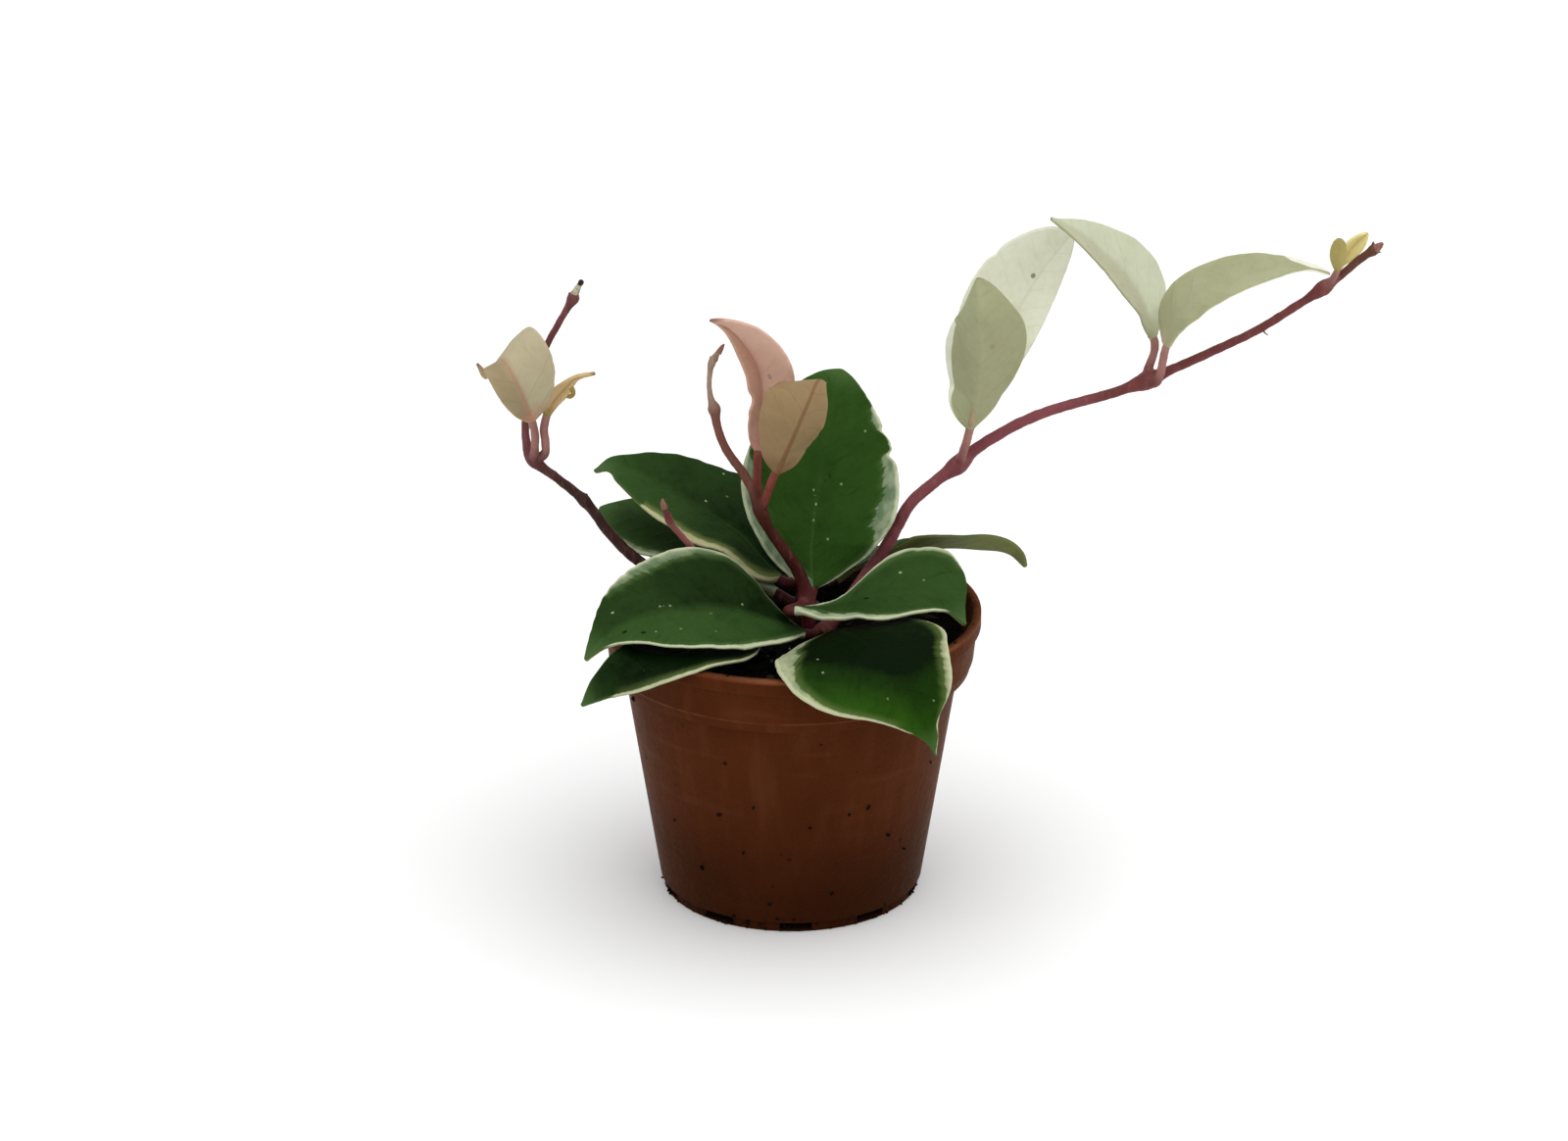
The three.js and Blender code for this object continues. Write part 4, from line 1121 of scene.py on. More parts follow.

# Each leaf in millimetres. Where a value has two parts, they are for the left and the right hand.
# kind: its colours. grid: its cells across and along. rib: the midrib from foot to tip.
# across: the way to the left margin, at even steps along the rib. half: the half widths.
# shape: where each half is widest and how it rises and falls. fold: the angles that the halves rise by, in
# degrees. cup: how much more they rise outwards. wave and waves: the height and number of the margin's waves.
# thick: the blade at the rib. stalk: its radius.
# start and leave: where the stalk starts on its vine and which way it leaves.
# notches: hand, share of the length, reach and depth. teeth: hand, from and to which share, depth and number.
# bands: the width of the light band at shares of the length. mint: how grey green a band is. soft: how gently
# it fades. warm: how yellow the bands are. vivid: how fresh the green is. rib_light: how clear the rib is.
# deep: how strongly painted shade darkens the leaf at shares of its length. slant: how much sooner that comes
# towards the margin.
# skin and foot: the stalk's colour and the colour that it ends in under the blade.
# marks: share of the length, side from -1 to 1, and how dark (up to 1) or bright (down to -1) the speck is.
LEAVES = [
    dict(
        GROWN, node="leaf_front_left", vine="vine_right",
        rib=[(3.6, -9, 78), (-6, -12.5, 83.2), (-18, -16, 87.8), (-31, -21, 89.6), (-43, -25, 88.2),
             (-51, -28, 84), (-56, -30, 78.8)],
        across=[(0, -0.95, -0.28)], half=(22, 21.3), shape=((0.5, 0.95, 0.9), (0.47, 1.4, 0.95)),
        fold=(8, 9), start=(9, -1, 76.5),
        teeth=((1, 0.6, 0.95, 0.95, 9),),
        bands=([(0, 0.6), (0.15, 1.6), (0.35, 1.9), (0.5, 1.1), (0.6, 0.6), (0.85, 0.6), (0.93, 0.1),
                (1, 0)],
               [(0, 0.3), (0.2, 0.5), (0.32, 0.7), (0.4, 2), (0.5, 3.2), (0.63, 3.8), (0.72, 3),
                (0.77, 0.9), (0.81, 0.1), (1, 0)]),
        # Its stalk is coloured maroon, darker than a grown leaf's stalk, as painted shade.
        mint=(0.1, 0.85), soft=(0.2, 0.7), warm=0.1, skin="maroon",
        deep=([(0, 0.7), (0.25, 0.15), (0.6, 0), (1, 0)], [(0, 0.95), (0.4, 0.7), (0.8, 0.45), (1, 0.1)]),
        marks=((0.8, -0.46, -1), (0.63, -0.1, -0.7), (0.59, -0.08, -0.6), (0.29, -0.16, -0.8),
               (0.44, 0.14, -0.5), (0.7, 0.54, -0.7), (0.6, 0.5, -0.6), (0.47, 0.58, -0.5),
               (0.81, 0.38, 1), (0.75, 0.56, 1)),
    ),
    dict(
        GROWN, node="leaf_front_left_lower", vine="vine_left",
        rib=[(-10, -9, 77), (-18, -24, 81.5), (-29, -36, 83.6), (-41, -43, 82), (-51, -44, 76.8),
             (-56.5, -43, 71)],
        across=[(0.7, -0.7, -0.12)], half=(12, 15), fold=(0, -6), start=(-9, 0, 77),
        bands=([(0, 0.2), (0.3, 0.5), (0.6, 0.8), (0.8, 0.6), (0.88, 0.1), (1, 0)], BARE),
        mint=(0.6, 0.4), soft=(0.4, 0), warm=0.4,
        deep=([(0, 1), (0.6, 1), (0.9, 0.7), (1, 0.2)], [(0, 1), (0.6, 1), (0.9, 0.8), (1, 0.2)]),
    ),
    dict(
        GROWN, node="leaf_front_right", vine="vine_right",
        rib=[(11.5, -9, 77.5), (13.7, -25, 84.7), (18.6, -40, 88.7), (24.2, -51, 87.6), (30.6, -58, 81.8),
             (34.8, -60.5, 73.8), (38.5, -59, 63.6)],
        across=[(0.88, 0.47, 0), (0.9, 0.4, 0)], half=(22.3, 26),
        shape=((0.5, 0.45, 1.2), (0.55, 0.75, 2.1)), fold=(1, -14), start=(9, -1, 76.5),
        notches=((0, 0.88, 0.05, 3.2), (0, 0.4, 0.12, 1.4)), teeth=((0, 0.55, 0.8, 0.25, 8),),
        bands=([(0, 0.4), (0.3, 0.5), (0.45, 0.7), (0.55, 1.4), (0.66, 2.6), (0.76, 2.6), (0.84, 0.9),
                (0.95, 0.5), (1, 0.3)],
               [(0, 1.5), (0.1, 3), (0.25, 5.5), (0.38, 7), (0.46, 4.6), (0.54, 2.4), (0.68, 1.4),
                (0.8, 0.9), (0.86, 0.4), (0.9, 0.1), (1, 0)]),
        # Its stalk is coloured maroon, darker than a grown leaf's stalk, as painted shade.
        mint=(0, 0.5), soft=(0.7, 0.3), warm=0.4, vivid=0.8, slant=(0, 0.32), skin="maroon",
        deep=([(0, 1), (0.66, 1), (0.76, 0.7), (0.86, 0.35), (0.94, 0.05), (1, 0)],
              [(0, 1), (0.62, 1), (0.74, 0.7), (0.84, 0.35), (0.94, 0.05), (1, 0)]),
        marks=((0.46, -0.54, -1), (0.54, -0.6, -0.7), (0.73, -0.34, -0.4), (0.81, 0.48, -0.4)),
    ),
    dict(
        GROWN, node="leaf_right", vine="vine_middle",
        rib=[(0.9, -11, 85.5), (10.5, -12, 87.1), (21, -12, 89.4), (33, -13, 90.9), (42, -14, 89.4),
             (47.6, -16, 83.3)],
        across=[(0, 1, 0.1)], half=(18, 16), shape=((0.72, 3, 1.25), (0.5, 1.1, 0.8)), fold=(20, 4),
        start=(4.4, 1, 83), leave=(-0.4, -1, 0.12),
        notches=((0, 0.78, 0.03, -1), (0, 0.9, 0.05, 2.4)), teeth=((0, 0.84, 0.97, 0.8, 4),),
        bands=([(0, 0.3), (0.4, 0.7), (0.6, 1.4), (0.75, 1.6), (0.81, 0.8), (0.85, 0.1), (1, 0)],
               [(0, 1.6), (0.15, 3), (0.35, 3.2), (0.5, 2.4), (0.62, 1.2), (0.8, 0.6), (0.9, 0.12),
                (1, 0)]),
        mint=(0.3, 0.55), soft=(0.5, 0.15), warm=0.1,
        marks=((0.58, 0.5, -1), (0.7, 0.3, -0.6), (0.4, -0.06, 1)),
    ),
    dict(
        GROWN, node="leaf_back_right", vine="vine_back",
        rib=[(12, 15, 84.5), (20, 19, 87.4), (30, 24, 89), (42, 28, 89), (54, 32, 87.2), (62, 35, 84.4),
             (66.5, 37, 79.4)],
        across=[(-0.35, 0.85, -0.4)], half=(14, 14), shape=(EVEN, (0.44, 0.85, 0.9)), fold=(8, 8),
        start=(3, 12.8, 84),
    ),
    dict(
        GROWN, node="leaf_upright", vine="vine_middle",
        rib=[(6, 4, 86), (5.5, 7, 93), (6, 11, 102), (8, 17, 114), (10, 24, 126.5), (12.5, 31, 135.5),
             (14, 35.5, 139)],
        across=[(-1, 0, 0)], half=(24, 24.5), shape=((0.44, 0.9, 0.8), (0.4, 0.65, 0.8)), fold=(24, 20),
        start=(4, 1, 83),
        notches=((1, 0.61, 0.02, 1.7), (1, 0.715, 0.02, 1.2)), teeth=((1, 0.45, 0.95, 0.45, 14),),
        bands=([(0, 3.4), (0.12, 5.4), (0.25, 6), (0.4, 5.2), (0.48, 3), (0.54, 0.4), (0.6, 0), (1, 0)],
               [(0, 1), (0.15, 1.2), (0.22, 1.8), (0.26, 3.4), (0.3, 6), (0.36, 6), (0.46, 4.8),
                (0.56, 4), (0.6, 3), (0.62, 0.5), (0.7, 0.3), (0.72, 1.6), (0.755, 2.6), (0.8, 1.4),
                (0.83, 0.2), (1, 0)]),
        mint=(0.95, 0.85), soft=(0.35, 0.3), warm=0, vivid=0.4, rib_light=0.35,
        deep=([(0, 0.15), (0.3, 0.05), (1, 0)], PLAIN),
        marks=((0.43, 0.06, -0.8), (0.37, 0, -1), (0.3, 0, -0.7), (0.22, -0.24, -0.8),
               (0.47, -0.28, -0.7), (0.71, -0.66, -0.7), (0.5, -0.14, 0.5)),
    ),
    dict(
        GROWN, node="leaf_back_left_upper", vine="vine_back",
        rib=[(-3, 12, 85.6), (-8, 15, 90), (-15, 20, 96), (-25, 25, 101), (-34, 28, 106),
             (-43, 29, 110.6), (-50.5, 29, 113.5), (-55, 28, 111.4)],
        across=[(-0.2, -0.85, -0.45)], half=(20.5, 18.5), shape=((0.55, 0.6, 0.65), (0.42, 0.45, 1.4)),
        fold=(22, -4), start=(3, 12.8, 84),
        teeth=((1, 0.3, 0.75, 0.55, 6),),
        bands=([(0, 1.8), (0.2, 3), (0.4, 3.1), (0.6, 2), (0.7, 1), (0.75, 0.1), (1, 0)],
               [(0, 0.3), (0.08, 2), (0.25, 2.2), (0.36, 1), (0.44, 0.4), (0.47, 0.1), (1, 0)]),
        mint=(0.1, 0.3), soft=(0.25, 0.4), warm=0.8, rib_light=0.2,
        deep=([(0, 0.8), (0.3, 0.5), (0.6, 0.2), (1, 0)], [(0, 1), (0.3, 0.7), (0.6, 0.5), (1, 0.1)]),
        marks=((0.48, -0.18, -1), (0.42, -0.46, -0.4), (0.5, -0.88, -0.9)),
    ),
    dict(
        GROWN, node="leaf_back_left_lower", vine="vine_back",
        rib=[(-4, 17, 79.4), (-18, 25, 87), (-34, 30, 94), (-45, 32, 97), (-54, 33, 98.4)],
        across=[(0, -1, 0)], half=(18.2, 16), shape=((0.72, 0.8, 0.6), (0.62, 0.85, 0.8)), fold=(-13, 2),
        start=(2.4, 13.5, 77),
        bands=([(0, 2), (0.5, 3), (0.75, 2.6), (0.88, 1), (0.95, 0.1), (1, 0)], BARE),
        mint=(0.6, 0.4), soft=(0.6, 0), warm=0.1,
        deep=([(0, 0.5), (0.4, 0.15), (1, 0)], [(0, 0.5), (0.4, 0.15), (1, 0)]),
    ),
    dict(
        GROWN, node="leaf_back", vine="vine_back",
        rib=[(3.5, 20, 78), (6, 29, 81.6), (10, 41, 85.4), (14, 52, 83.6), (17, 60, 76)],
        across=[(-1, 0.2, 0)], half=(13, 10), fold=(4, 4), start=(2.6, 13.4, 77),
        bands=([(0, 1), (0.4, 2.6), (0.7, 1.6), (1, 0.4)], [(0, 0.8), (0.5, 1.6), (0.8, 2.2), (1, 0.4)]),
    ),
    dict(
        GROWN, node="leaf_back_left_trailing", vine="vine_left",
        rib=[(-10.5, 14, 77), (-16, 24, 78.6), (-24, 36, 83.8), (-33, 46, 84.8), (-38, 53, 79),
             (-40, 56, 74)],
        across=[(-1, -0.3, 0)], half=(12, 9), fold=(2, 2), start=(-8, 1, 76),
        bands=([(0, 0.8), (0.4, 1.8), (0.7, 2.4), (1, 0.4)], [(0, 1), (0.5, 2.2), (0.8, 1.2), (1, 0.4)]),
    ),
    dict(
        YOUNG, node="pink_leaf_back", vine="vine_middle", kind="pink", slot="pink_leaf",
        rib=[(-9, 0, 128), (-8.5, 2, 135), (-8, 3, 141), (-9, 4, 150), (-13, 3, 158), (-17.5, 0, 164),
             (-22, -4, 167.5)],
        across=[(-1, 0, 0), (-1, 0, -0.1), (-0.8, 0.1, -0.8)], half=(6, 13),
        shape=((0.3, 0.6, 1.2), (0.6, 0.75, 0.4)), fold=(50, 34), start=(-8.4, -5, 113),
        leave=(-0.2, 0.9, 0.3),
        notches=((0, 0.32, 0.045, 2.4), (0, 0.13, 0.08, 0.9)),
        skin="brick", foot="soft_petiole",
        deep=([(0, 0.35), (1, 0.45)], PLAIN),
        marks=((0.45, -0.3, 0.5),),
    ),
    dict(
        YOUNG, node="pink_leaf_front", vine="vine_middle", kind="tan", slot="pink_leaf",
        rib=[(-4, -12, 127), (-1.2, -15, 134.2), (2.2, -16.5, 142.6), (5.1, -14.3, 148.6),
             (6.8, -10, 151.2), (8, -7, 151), (9, -4.8, 148.8)],
        across=[(0.9, 0, 0.3), (0.95, 0, -0.12)], half=(8.6, 12.2),
        shape=((0.34, 0.5, 1.1), (0.68, 0.6, 0.4)), fold=(30, 10), start=(-8.2, -6, 113),
        skin="brick", foot="hazel",
    ),
    dict(
        YOUNG, node="cream_leaf_broad", vine="vine_left", kind="ivory", slot="cream_leaf",
        rib=[(-71, 5.5, 135), (-72.8, 2.5, 142), (-75.5, 1, 149), (-78, 3, 152.6), (-80, 7, 151.5),
             (-82.8, 9.5, 147.4), (-86, 11, 149.6)],
        across=[(-0.9, -0.3, -0.3), (-0.75, -0.35, -0.55), (-0.6, -0.4, -0.7)], half=(6.5, 12.5),
        shape=((0.45, 0.6, 1), (0.6, 0.55, 5)), fold=(8, 4), start=(-71.2, 12.4, 121),
        leave=(0.1, -0.6, 0.5),
        deep=([(0, 0.8), (1, 0.9)], [(0, 0), (0.6, 0), (0.8, 0.45), (1, 0.5)]),
    ),
    dict(
        YOUNG, node="cream_leaf_curled", vine="vine_left", kind="peach", slot="bud_leaf",
        rib=[(-67.1, 9, 135.1), (-65.1, 9.5, 139.2), (-62.1, 9.5, 142.8), (-58.8, 9, 146),
             (-53.5, 8.5, 147.6)],
        across=[(-0.7, 0, 0.7)], half=(2.9, 2.1), shape=((0.36, 0.8, 2.4), (0.36, 0.8, 2.4)),
        fold=(30, 30), grid=(12, 32), start=(-70, 12.4, 121.2), leave=(0.8, -0.3, 0.3),
    ),
    dict(
        YOUNG, node="pale_leaf_near", vine="vine_right",
        rib=[(48.8, 3, 133.8), (50.3, 0.5, 146), (51, -1, 158), (51, 0, 168), (50.5, 5, 176.5)],
        across=[(1, 0, 0)], half=(15, 14), shape=((0.55, 0.9, 0.6), (0.45, 0.7, 0.9)), fold=(26, 48),
        start=(46.5, 8, 122), leave=(0, -0.8, 0.6),
        bands=(BARE, [(0, 0.3), (0.1, 0.8), (0.25, 2.8), (0.5, 3.2), (0.66, 2.2), (0.72, 0.1), (1, 0)]),
        deep=([(0, 0.3), (1, 0.2)], PLAIN),
        marks=((0.56, 0.24, 0.3),),
    ),
    dict(
        YOUNG, node="pale_leaf_far", vine="vine_right",
        rib=[(50, 14, 132), (54.5, 18, 144), (61, 23, 158), (69, 27, 171), (77, 26, 182.5)],
        across=[(-1, 0, 0.3)], half=(16.5, 8), shape=((0.55, 0.8, 0.4), (0.5, 0.9, 0.6)), fold=(12, 12),
        start=(47, 8, 123), leave=(0.2, 0.7, 0.6),
        notches=((0, 0.72, 0.025, 0.9),),
        marks=((0.72, 0.1, 1),),
    ),
    dict(
        YOUNG, node="pale_leaf_arched", vine="vine_right", kind="mist",
        rib=[(99.2, 15, 155.5), (96.2, 16, 164), (91.2, 17, 172.5), (84.2, 17, 180), (78, 16, 185.6),
             (70.3, 15, 190)],
        across=[(-0.4, -0.8, -0.3)], half=(11, 14.5), shape=(EVEN, (0.28, 0.8, 1.25)), fold=(20, -4),
        start=(97.5, 12, 145), leave=(0, 0.4, 1),
        deep=([(0, 0.6), (1, 0.5)], PLAIN),
    ),
    dict(
        YOUNG, node="pale_leaf_reaching", vine="vine_right", kind="sage",
        rib=[(102, 6, 156.4), (104.2, 5.5, 164.4), (110.5, 5, 171.4), (121, 5, 176.4), (133.5, 6, 178.6),
             (141, 7, 178.2), (146, 8, 176.4)],
        across=[(-0.3, 0.9, 0.3)], half=(9, 8.5), shape=((0.3, 0.45, 0.9), (0.34, 0.7, 1.8)), fold=(5, 5),
        start=(98, 10.5, 144), leave=(0.6, -0.8, 0.1),
        bands=([(0, 0), (0.76, 0), (0.82, 2), (0.9, 2.4), (1, 1.5)], BARE),
    ),
    dict(
        TINY, node="bud_leaf_near", vine="vine_right",
        rib=[(148.2, 10, 177), (148.2, 9, 182), (148.3, 9, 186.3)],
        across=[(1, 0, 0)], half=(2.4, 2.4), shape=((0.5, 0.6, 0.4), (0.5, 0.6, 0.4)), fold=(16, 16),
        start=(145.2, 13, 170.8),
    ),
    dict(
        TINY, node="bud_leaf_far", vine="vine_right", kind="lemon",
        rib=[(149.6, 17, 175.6), (152.4, 17.5, 180.2), (156.9, 18, 184.8)],
        across=[(-0.8, 0, 0.4)], half=(3.4, 2.8), shape=((0.55, 0.8, 0.7), (0.55, 0.8, 0.7)),
        fold=(34, 34), start=(145.6, 13, 171),
    ),
]


def outline(share, widest, rise, fall):
    """Half the blade's width at a share of its length, as a share of the widest."""
    if share < widest:
        return math.sin(math.pi / 2 * share / widest) ** rise
    return max(0.0, math.sin(math.pi / 2 * (1 - share) / (1 - widest))) ** fall


def leftward(across, share):
    """The direction towards the left margin, between the listed ones."""
    place = share * (len(across) - 1)
    first = min(int(place), max(len(across) - 2, 0))
    last = min(first + 1, len(across) - 1)
    return Vector(across[first]).lerp(Vector(across[last]), place - first)


def bitten(leaf, hand, share):
    """How far the margin is drawn in by notches and teeth, in millimetres."""
    depth = sum(deep * hump(share - at, reach) for which, at, reach, deep in leaf["notches"] if which == hand)
    for which, start, end, deep, count in leaf["teeth"]:
        if which == hand and start < share < end:
            part = (share - start) / (end - start)
            saw = (part * count) % 1
            depth += deep * (saw if saw < 0.75 else 3 * (1 - saw)) * math.sin(math.pi * part) ** 0.5
    ragged = noise.noise(Vector((share * 40, hand * 9, len(leaf["node"])))) * 0.16
    return depth + ragged * ease(0, 0.2, share) * (1 - ease(0.9, 1, share))


def blade_place(leaf, rib, share, side):
    """A point of the middle surface, the blade's normal there and half its width, in millimetres. The side
    runs from -1 at the right margin to 1 at the left one."""
    centre, along = rib.at(share)
    left = leftward(leaf["across"], share)
    left = (left - along * left.dot(along)).normalized()
    up = along.cross(left)
    hand = 0 if side >= 0 else 1
    out = abs(side)
    ends = mix(leaf["stalk"], TIP_HALF, share**0.5)
    half = math.hypot(leaf["half"][hand] * outline(share, *leaf["shape"][hand]), ends)
    half -= bitten(leaf, hand, share) * out**3
    rise = math.radians(leaf["fold"][hand] + leaf["cup"] * out / 2) * min(1, share / FOLD_ONSET)
    wave = leaf["wave"] * out * out * math.sin(2 * math.pi * (leaf["waves"] * share + WAVE_SHIFT * hand))
    ripple = 0.35 * out**3 * noise.noise(Vector((share * 13, hand * 5, len(leaf["node"]))))
    settle = ease(0, WAVE_ENDS[0], share) * (1 - ease(WAVE_ENDS[1], 1, share))
    sign = 1 if side >= 0 else -1
    point = centre + left * (sign * out * half * math.cos(rise))
    point += up * (out * half * math.sin(rise) + (wave + ripple) * settle)
    normal = up * math.cos(rise) - left * (sign * math.sin(rise) * min(1, out * 6))
    return point, normal.normalized(), half


def nearest_mark(leaf, rib, across, along):
    """The way from the leaf's nearest speck, and how dark or bright that is if it is near."""
    best = (9.0, 9.0, 0.0)
    for share, side, strength in leaf["marks"]:
        _, _, half = blade_place(leaf, rib, share, side)
        away = (across - side * half, along - share * rib.length)
        if math.hypot(*away) < math.hypot(*best[:2]):
            best = (*away, float(strength))
    return best if math.hypot(*best[:2]) < MARK_REACH else (*best[:2], 0.0)


def blade_mesh(leaf):
    """The blade as a closed slab: a grid laid on the leaf's surface and thickened. Its points store their
    place on the flattened leaf, how far they lie inside the light band and the margin, how much painted
    shade darkens it, and what else colours the leaf there."""
    rib = Route(leaf["rib"])
    columns, rows = leaf["grid"]
    shape = bmesh.new()
    bmesh.ops.create_grid(shape, x_segments=columns, y_segments=rows, size=1)
    layer = {name: shape.verts.layers.float.new(name) for name in ("inner", "band", "edge", "under", "share")}
    flat, shade_and_band, speck = (shape.verts.layers.float_vector.new(name) for name in ("flat", "shade_and_band", "speck"))
    raised = bmesh.ops.extrude_face_region(shape, geom=shape.faces[:])["geom"]
    upper = {part for part in raised if isinstance(part, bmesh.types.BMVert)}
    tall = rib.length
    seed = len(leaf["node"]) + leaf["rib"][0][0]
    for vert in shape.verts:
        x, share = vert.co.x, (vert.co.y + 1) / 2
        side = 1.3 * x - 0.3 * x**3
        point, normal, half = blade_place(leaf, rib, share, side)
        hand, out = (0 if side >= 0 else 1), abs(side)
        across, along = side * half, share * tall
        band = along_points(leaf["bands"][hand], share)
        thick = mix(leaf["thick"], MARGIN, out)
        thick = mix(2 * leaf["stalk"] * math.sqrt(max(0.15, 1 - out**2)), thick, ease(0, 0.1, share))
        dips = DIP_DEPTH * noise.noise(Vector((across / DIP_SIZE, along / DIP_SIZE, seed * 3.1)))
        row = (along - VEIN_SLANT * abs(across)) / VEIN_SPACING
        veins = VEIN_HEIGHT * math.sin(2 * math.pi * row) * ease(1, 5, abs(across))
        if vert in upper:
            groove = GROOVE_DEPTH * hump(across, 0.9) * (1 - share) ** 0.4 * ease(0, 0.08, share)
            lift = thick / 2 - groove + (dips + veins) * (1 - out**4)
        else:
            ridge = RIDGE_HEIGHT * hump(across, 1.3) * (1 - share) ** 0.6
            lift = -thick / 2 - ridge + (dips + veins) * (1 - out**4)
        vert.co = point + normal * lift
        vert[layer["inner"]] = (1 - out) * half - band
        vert[layer["band"]] = band
        vert[layer["edge"]] = (1 - out) * half
        vert[layer["under"]] = 0.0 if vert in upper else 1.0
        vert[layer["share"]] = share
        vert[flat] = (across, along, seed)
        # Painted shade for each half, with the band's greyness and softness, blended across the rib.
        middle = ease(-1.5, 1.5, across)
        slanted = [min(1.0, share + slant * out) for slant in leaf["slant"]]
        left, right = (along_points(leaf["deep"][number], slanted[number]) for number in (0, 1))
        depth = mix(right, left, middle) * (1 - 0.12 * out**2)
        vert[shade_and_band] = (depth, *(mix(leaf[name][1], leaf[name][0], middle) for name in ("mint", "soft")))
        vert[speck] = nearest_mark(leaf, rib, across, along)
    return shape


def grow_blade(leaf, material):
    blade = piece(f"{leaf['node']}_blade", blade_mesh(leaf), leaf["node"], slot=leaf["slot"])
    subdivided(blade).data.materials.append(material)


class PLANT_OT_grown_leaves(bpy.types.Operator):
    """Shape the thick green leaves with their cream margins"""

    bl_idname = "plant.grown_leaves"
    bl_label = "Grown Leaves"

    def execute(self, context):
        leaves = context.scene.plant_leaves
        for leaf in (leaf for leaf in LEAVES if leaf["kind"] == "grown"):
            grow_blade(leaf, green_material(leaves, leaf))
        return {"FINISHED"}


class PLANT_OT_young_leaves(bpy.types.Operator):
    """Shape the pale, pink, cream and straw coloured young leaves"""

    bl_idname = "plant.young_leaves"
    bl_label = "Young Leaves"

    # The material's name, the colours of face, back and rib, how clear the rib is, and where the dark tip
    # starts.
    KINDS = {
        "pale": ("pale_leaf", "milk", "sage", paint(150, 150, 112), 0.12, 0.98),
        "mist": ("misty_leaf", "mist", "sage", paint(150, 150, 112), 0.12, 0.99),
        "sage": ("sage_leaf", "sage", "milk", paint(166, 160, 126), 0.1, 0.99),
        "pink": ("pink_leaf", "pink", "pink", paint(178, 118, 106), 0.4, 0.97),
        "tan": ("tan_leaf", "tan", "tan", paint(116, 84, 56), 0.8, 0.98),
        "ivory": ("ivory_leaf", "ivory", "ivory", paint(172, 122, 100), 0.55, 0.92),
        "straw": ("straw_leaf", "straw", "straw", paint(150, 124, 62), 0.2, 0.98),
        "lemon": ("lemon_leaf", "lemon", "lemon", paint(190, 160, 90), 0.2, 0.98),
        "peach": ("peach_leaf", "peach", "peach", paint(130, 112, 44), 0.3, 0.9),
    }
    CURL_CENTRE = Vector((-60.9, 8.6, 141.9))

    def execute(self, context):
        leaves = context.scene.plant_leaves
        materials = {
            kind: young_material(name, getattr(leaves, face), getattr(leaves, back), *rest)
            for kind, (name, face, back, *rest) in self.KINDS.items()
        }
        for leaf in (leaf for leaf in LEAVES if leaf["kind"] != "grown"):
            grow_blade(leaf, materials[leaf["kind"]])
        self.curl(materials["straw"])
        return {"FINISHED"}

    def curl(self, material):
        """The curled lobe under the small peach coloured leaf."""
        shape = bmesh.new()
        points = []
        for step in range(10):
            angle = math.radians(70 - 38 * step)
            radius = 1.4 - 0.09 * step
            turned = Vector((radius * math.cos(angle), 0.1 * step, 1.2 * radius * math.sin(angle)))
            points.append(self.CURL_CENTRE + turned)
        tube(shape, Route(points), lambda share: mix(0.75, 0.55, share), 10, 0.4)
        piece("curled_lobe", shape, slot="bud_leaf").data.materials.append(material)


def vein_pattern(s, flat, across, along):
    """Side veins that leave the rib forwards, 1 on a vein and 0 between them."""
    wander = s.times(s.noise(flat, 9, 2), 3)
    row = s.minus(along, s.times(s.size(across), VEIN_SLANT))
    row = s.maths("DIVIDE", s.maths("ADD", row, wander), VEIN_SPACING)
    off = s.size(s.minus(s.maths("FRACT", row), 0.5))
    return s.spread(off, 0.09, 0.0)


def speck_masks(s, flat):
    """Where the listed dark and bright specks of a leaf lie."""
    away = s.parts(s.attribute("speck", "Vector"))
    squares = [s.maths("POWER", s.size(away[number]), 2) for number in (0, 1)]
    distance = s.maths("SQRT", s.maths("ADD", *squares))
    ragged = s.maths("MULTIPLY_ADD", s.noise(flat, 0.5, 3), 0.7, distance)
    strength = away[2]
    dark = s.times(s.spread(ragged, 1.25, 0.95), s.maths("MAXIMUM", strength, 0.0))
    bright = s.times(s.spread(ragged, 0.8, 0.55), s.maths("MAXIMUM", s.times(strength, -1.0), 0.0))
    return dark, bright


def crease_pattern(s, across, along, seed):
    """Uneven creases that run beside the side veins, about 0 on the whole."""
    sway = s.maths("MULTIPLY_ADD", s.size(across), -VEIN_SLANT, along)
    lie = s.add("ShaderNodeCombineXYZ")
    for number, part in enumerate((s.times(sway, 0.55), s.times(across, 0.14), seed)):
        s.join(part, lie.inputs[number])
    return s.minus(s.noise(lie.outputs[0], 1, 3, 0.6), 0.5)


def band_masks(s, leaf, flat, soft, mint, creases):
    """Where the halo beside a margin's light band lies, where the band does, and how grey green that is."""
    inner, band, edge = s.attribute("inner"), s.attribute("band"), s.attribute("edge")
    ragged = s.maths("MULTIPLY_ADD", creases, s.spread(band, 1.0, 4.5, 0.9, 5), inner)
    near = s.spread(ragged, 2.2 + 2.5 * leaf["warm"], 0.0, 0, 0.42 + 0.5 * leaf["warm"])
    halo = s.times(near, s.spread(band, 0.3, 0.9))
    crisp = s.spread(ragged, 0.35, -0.3)
    faded = s.spread(s.maths("DIVIDE", ragged, s.maths("MAXIMUM", band, 0.3)), 0.15, -0.95)
    light = s.maths("MULTIPLY_ADD", soft, s.minus(faded, crisp), crisp)
    light = s.times(light, s.spread(band, 0.12, 0.45))
    uneven = s.spread(s.noise(s.stretch(flat, (1, 0.6, 1)), 2.6, 3), 0.35, 0.7, -0.25, 0.25)
    brightened = s.times(s.spread(edge, 1.5, 0.35), 0.75)
    greyed = s.maths("MAXIMUM", s.minus(s.maths("ADD", mint, uneven), brightened), 0.0)
    return halo, light, greyed


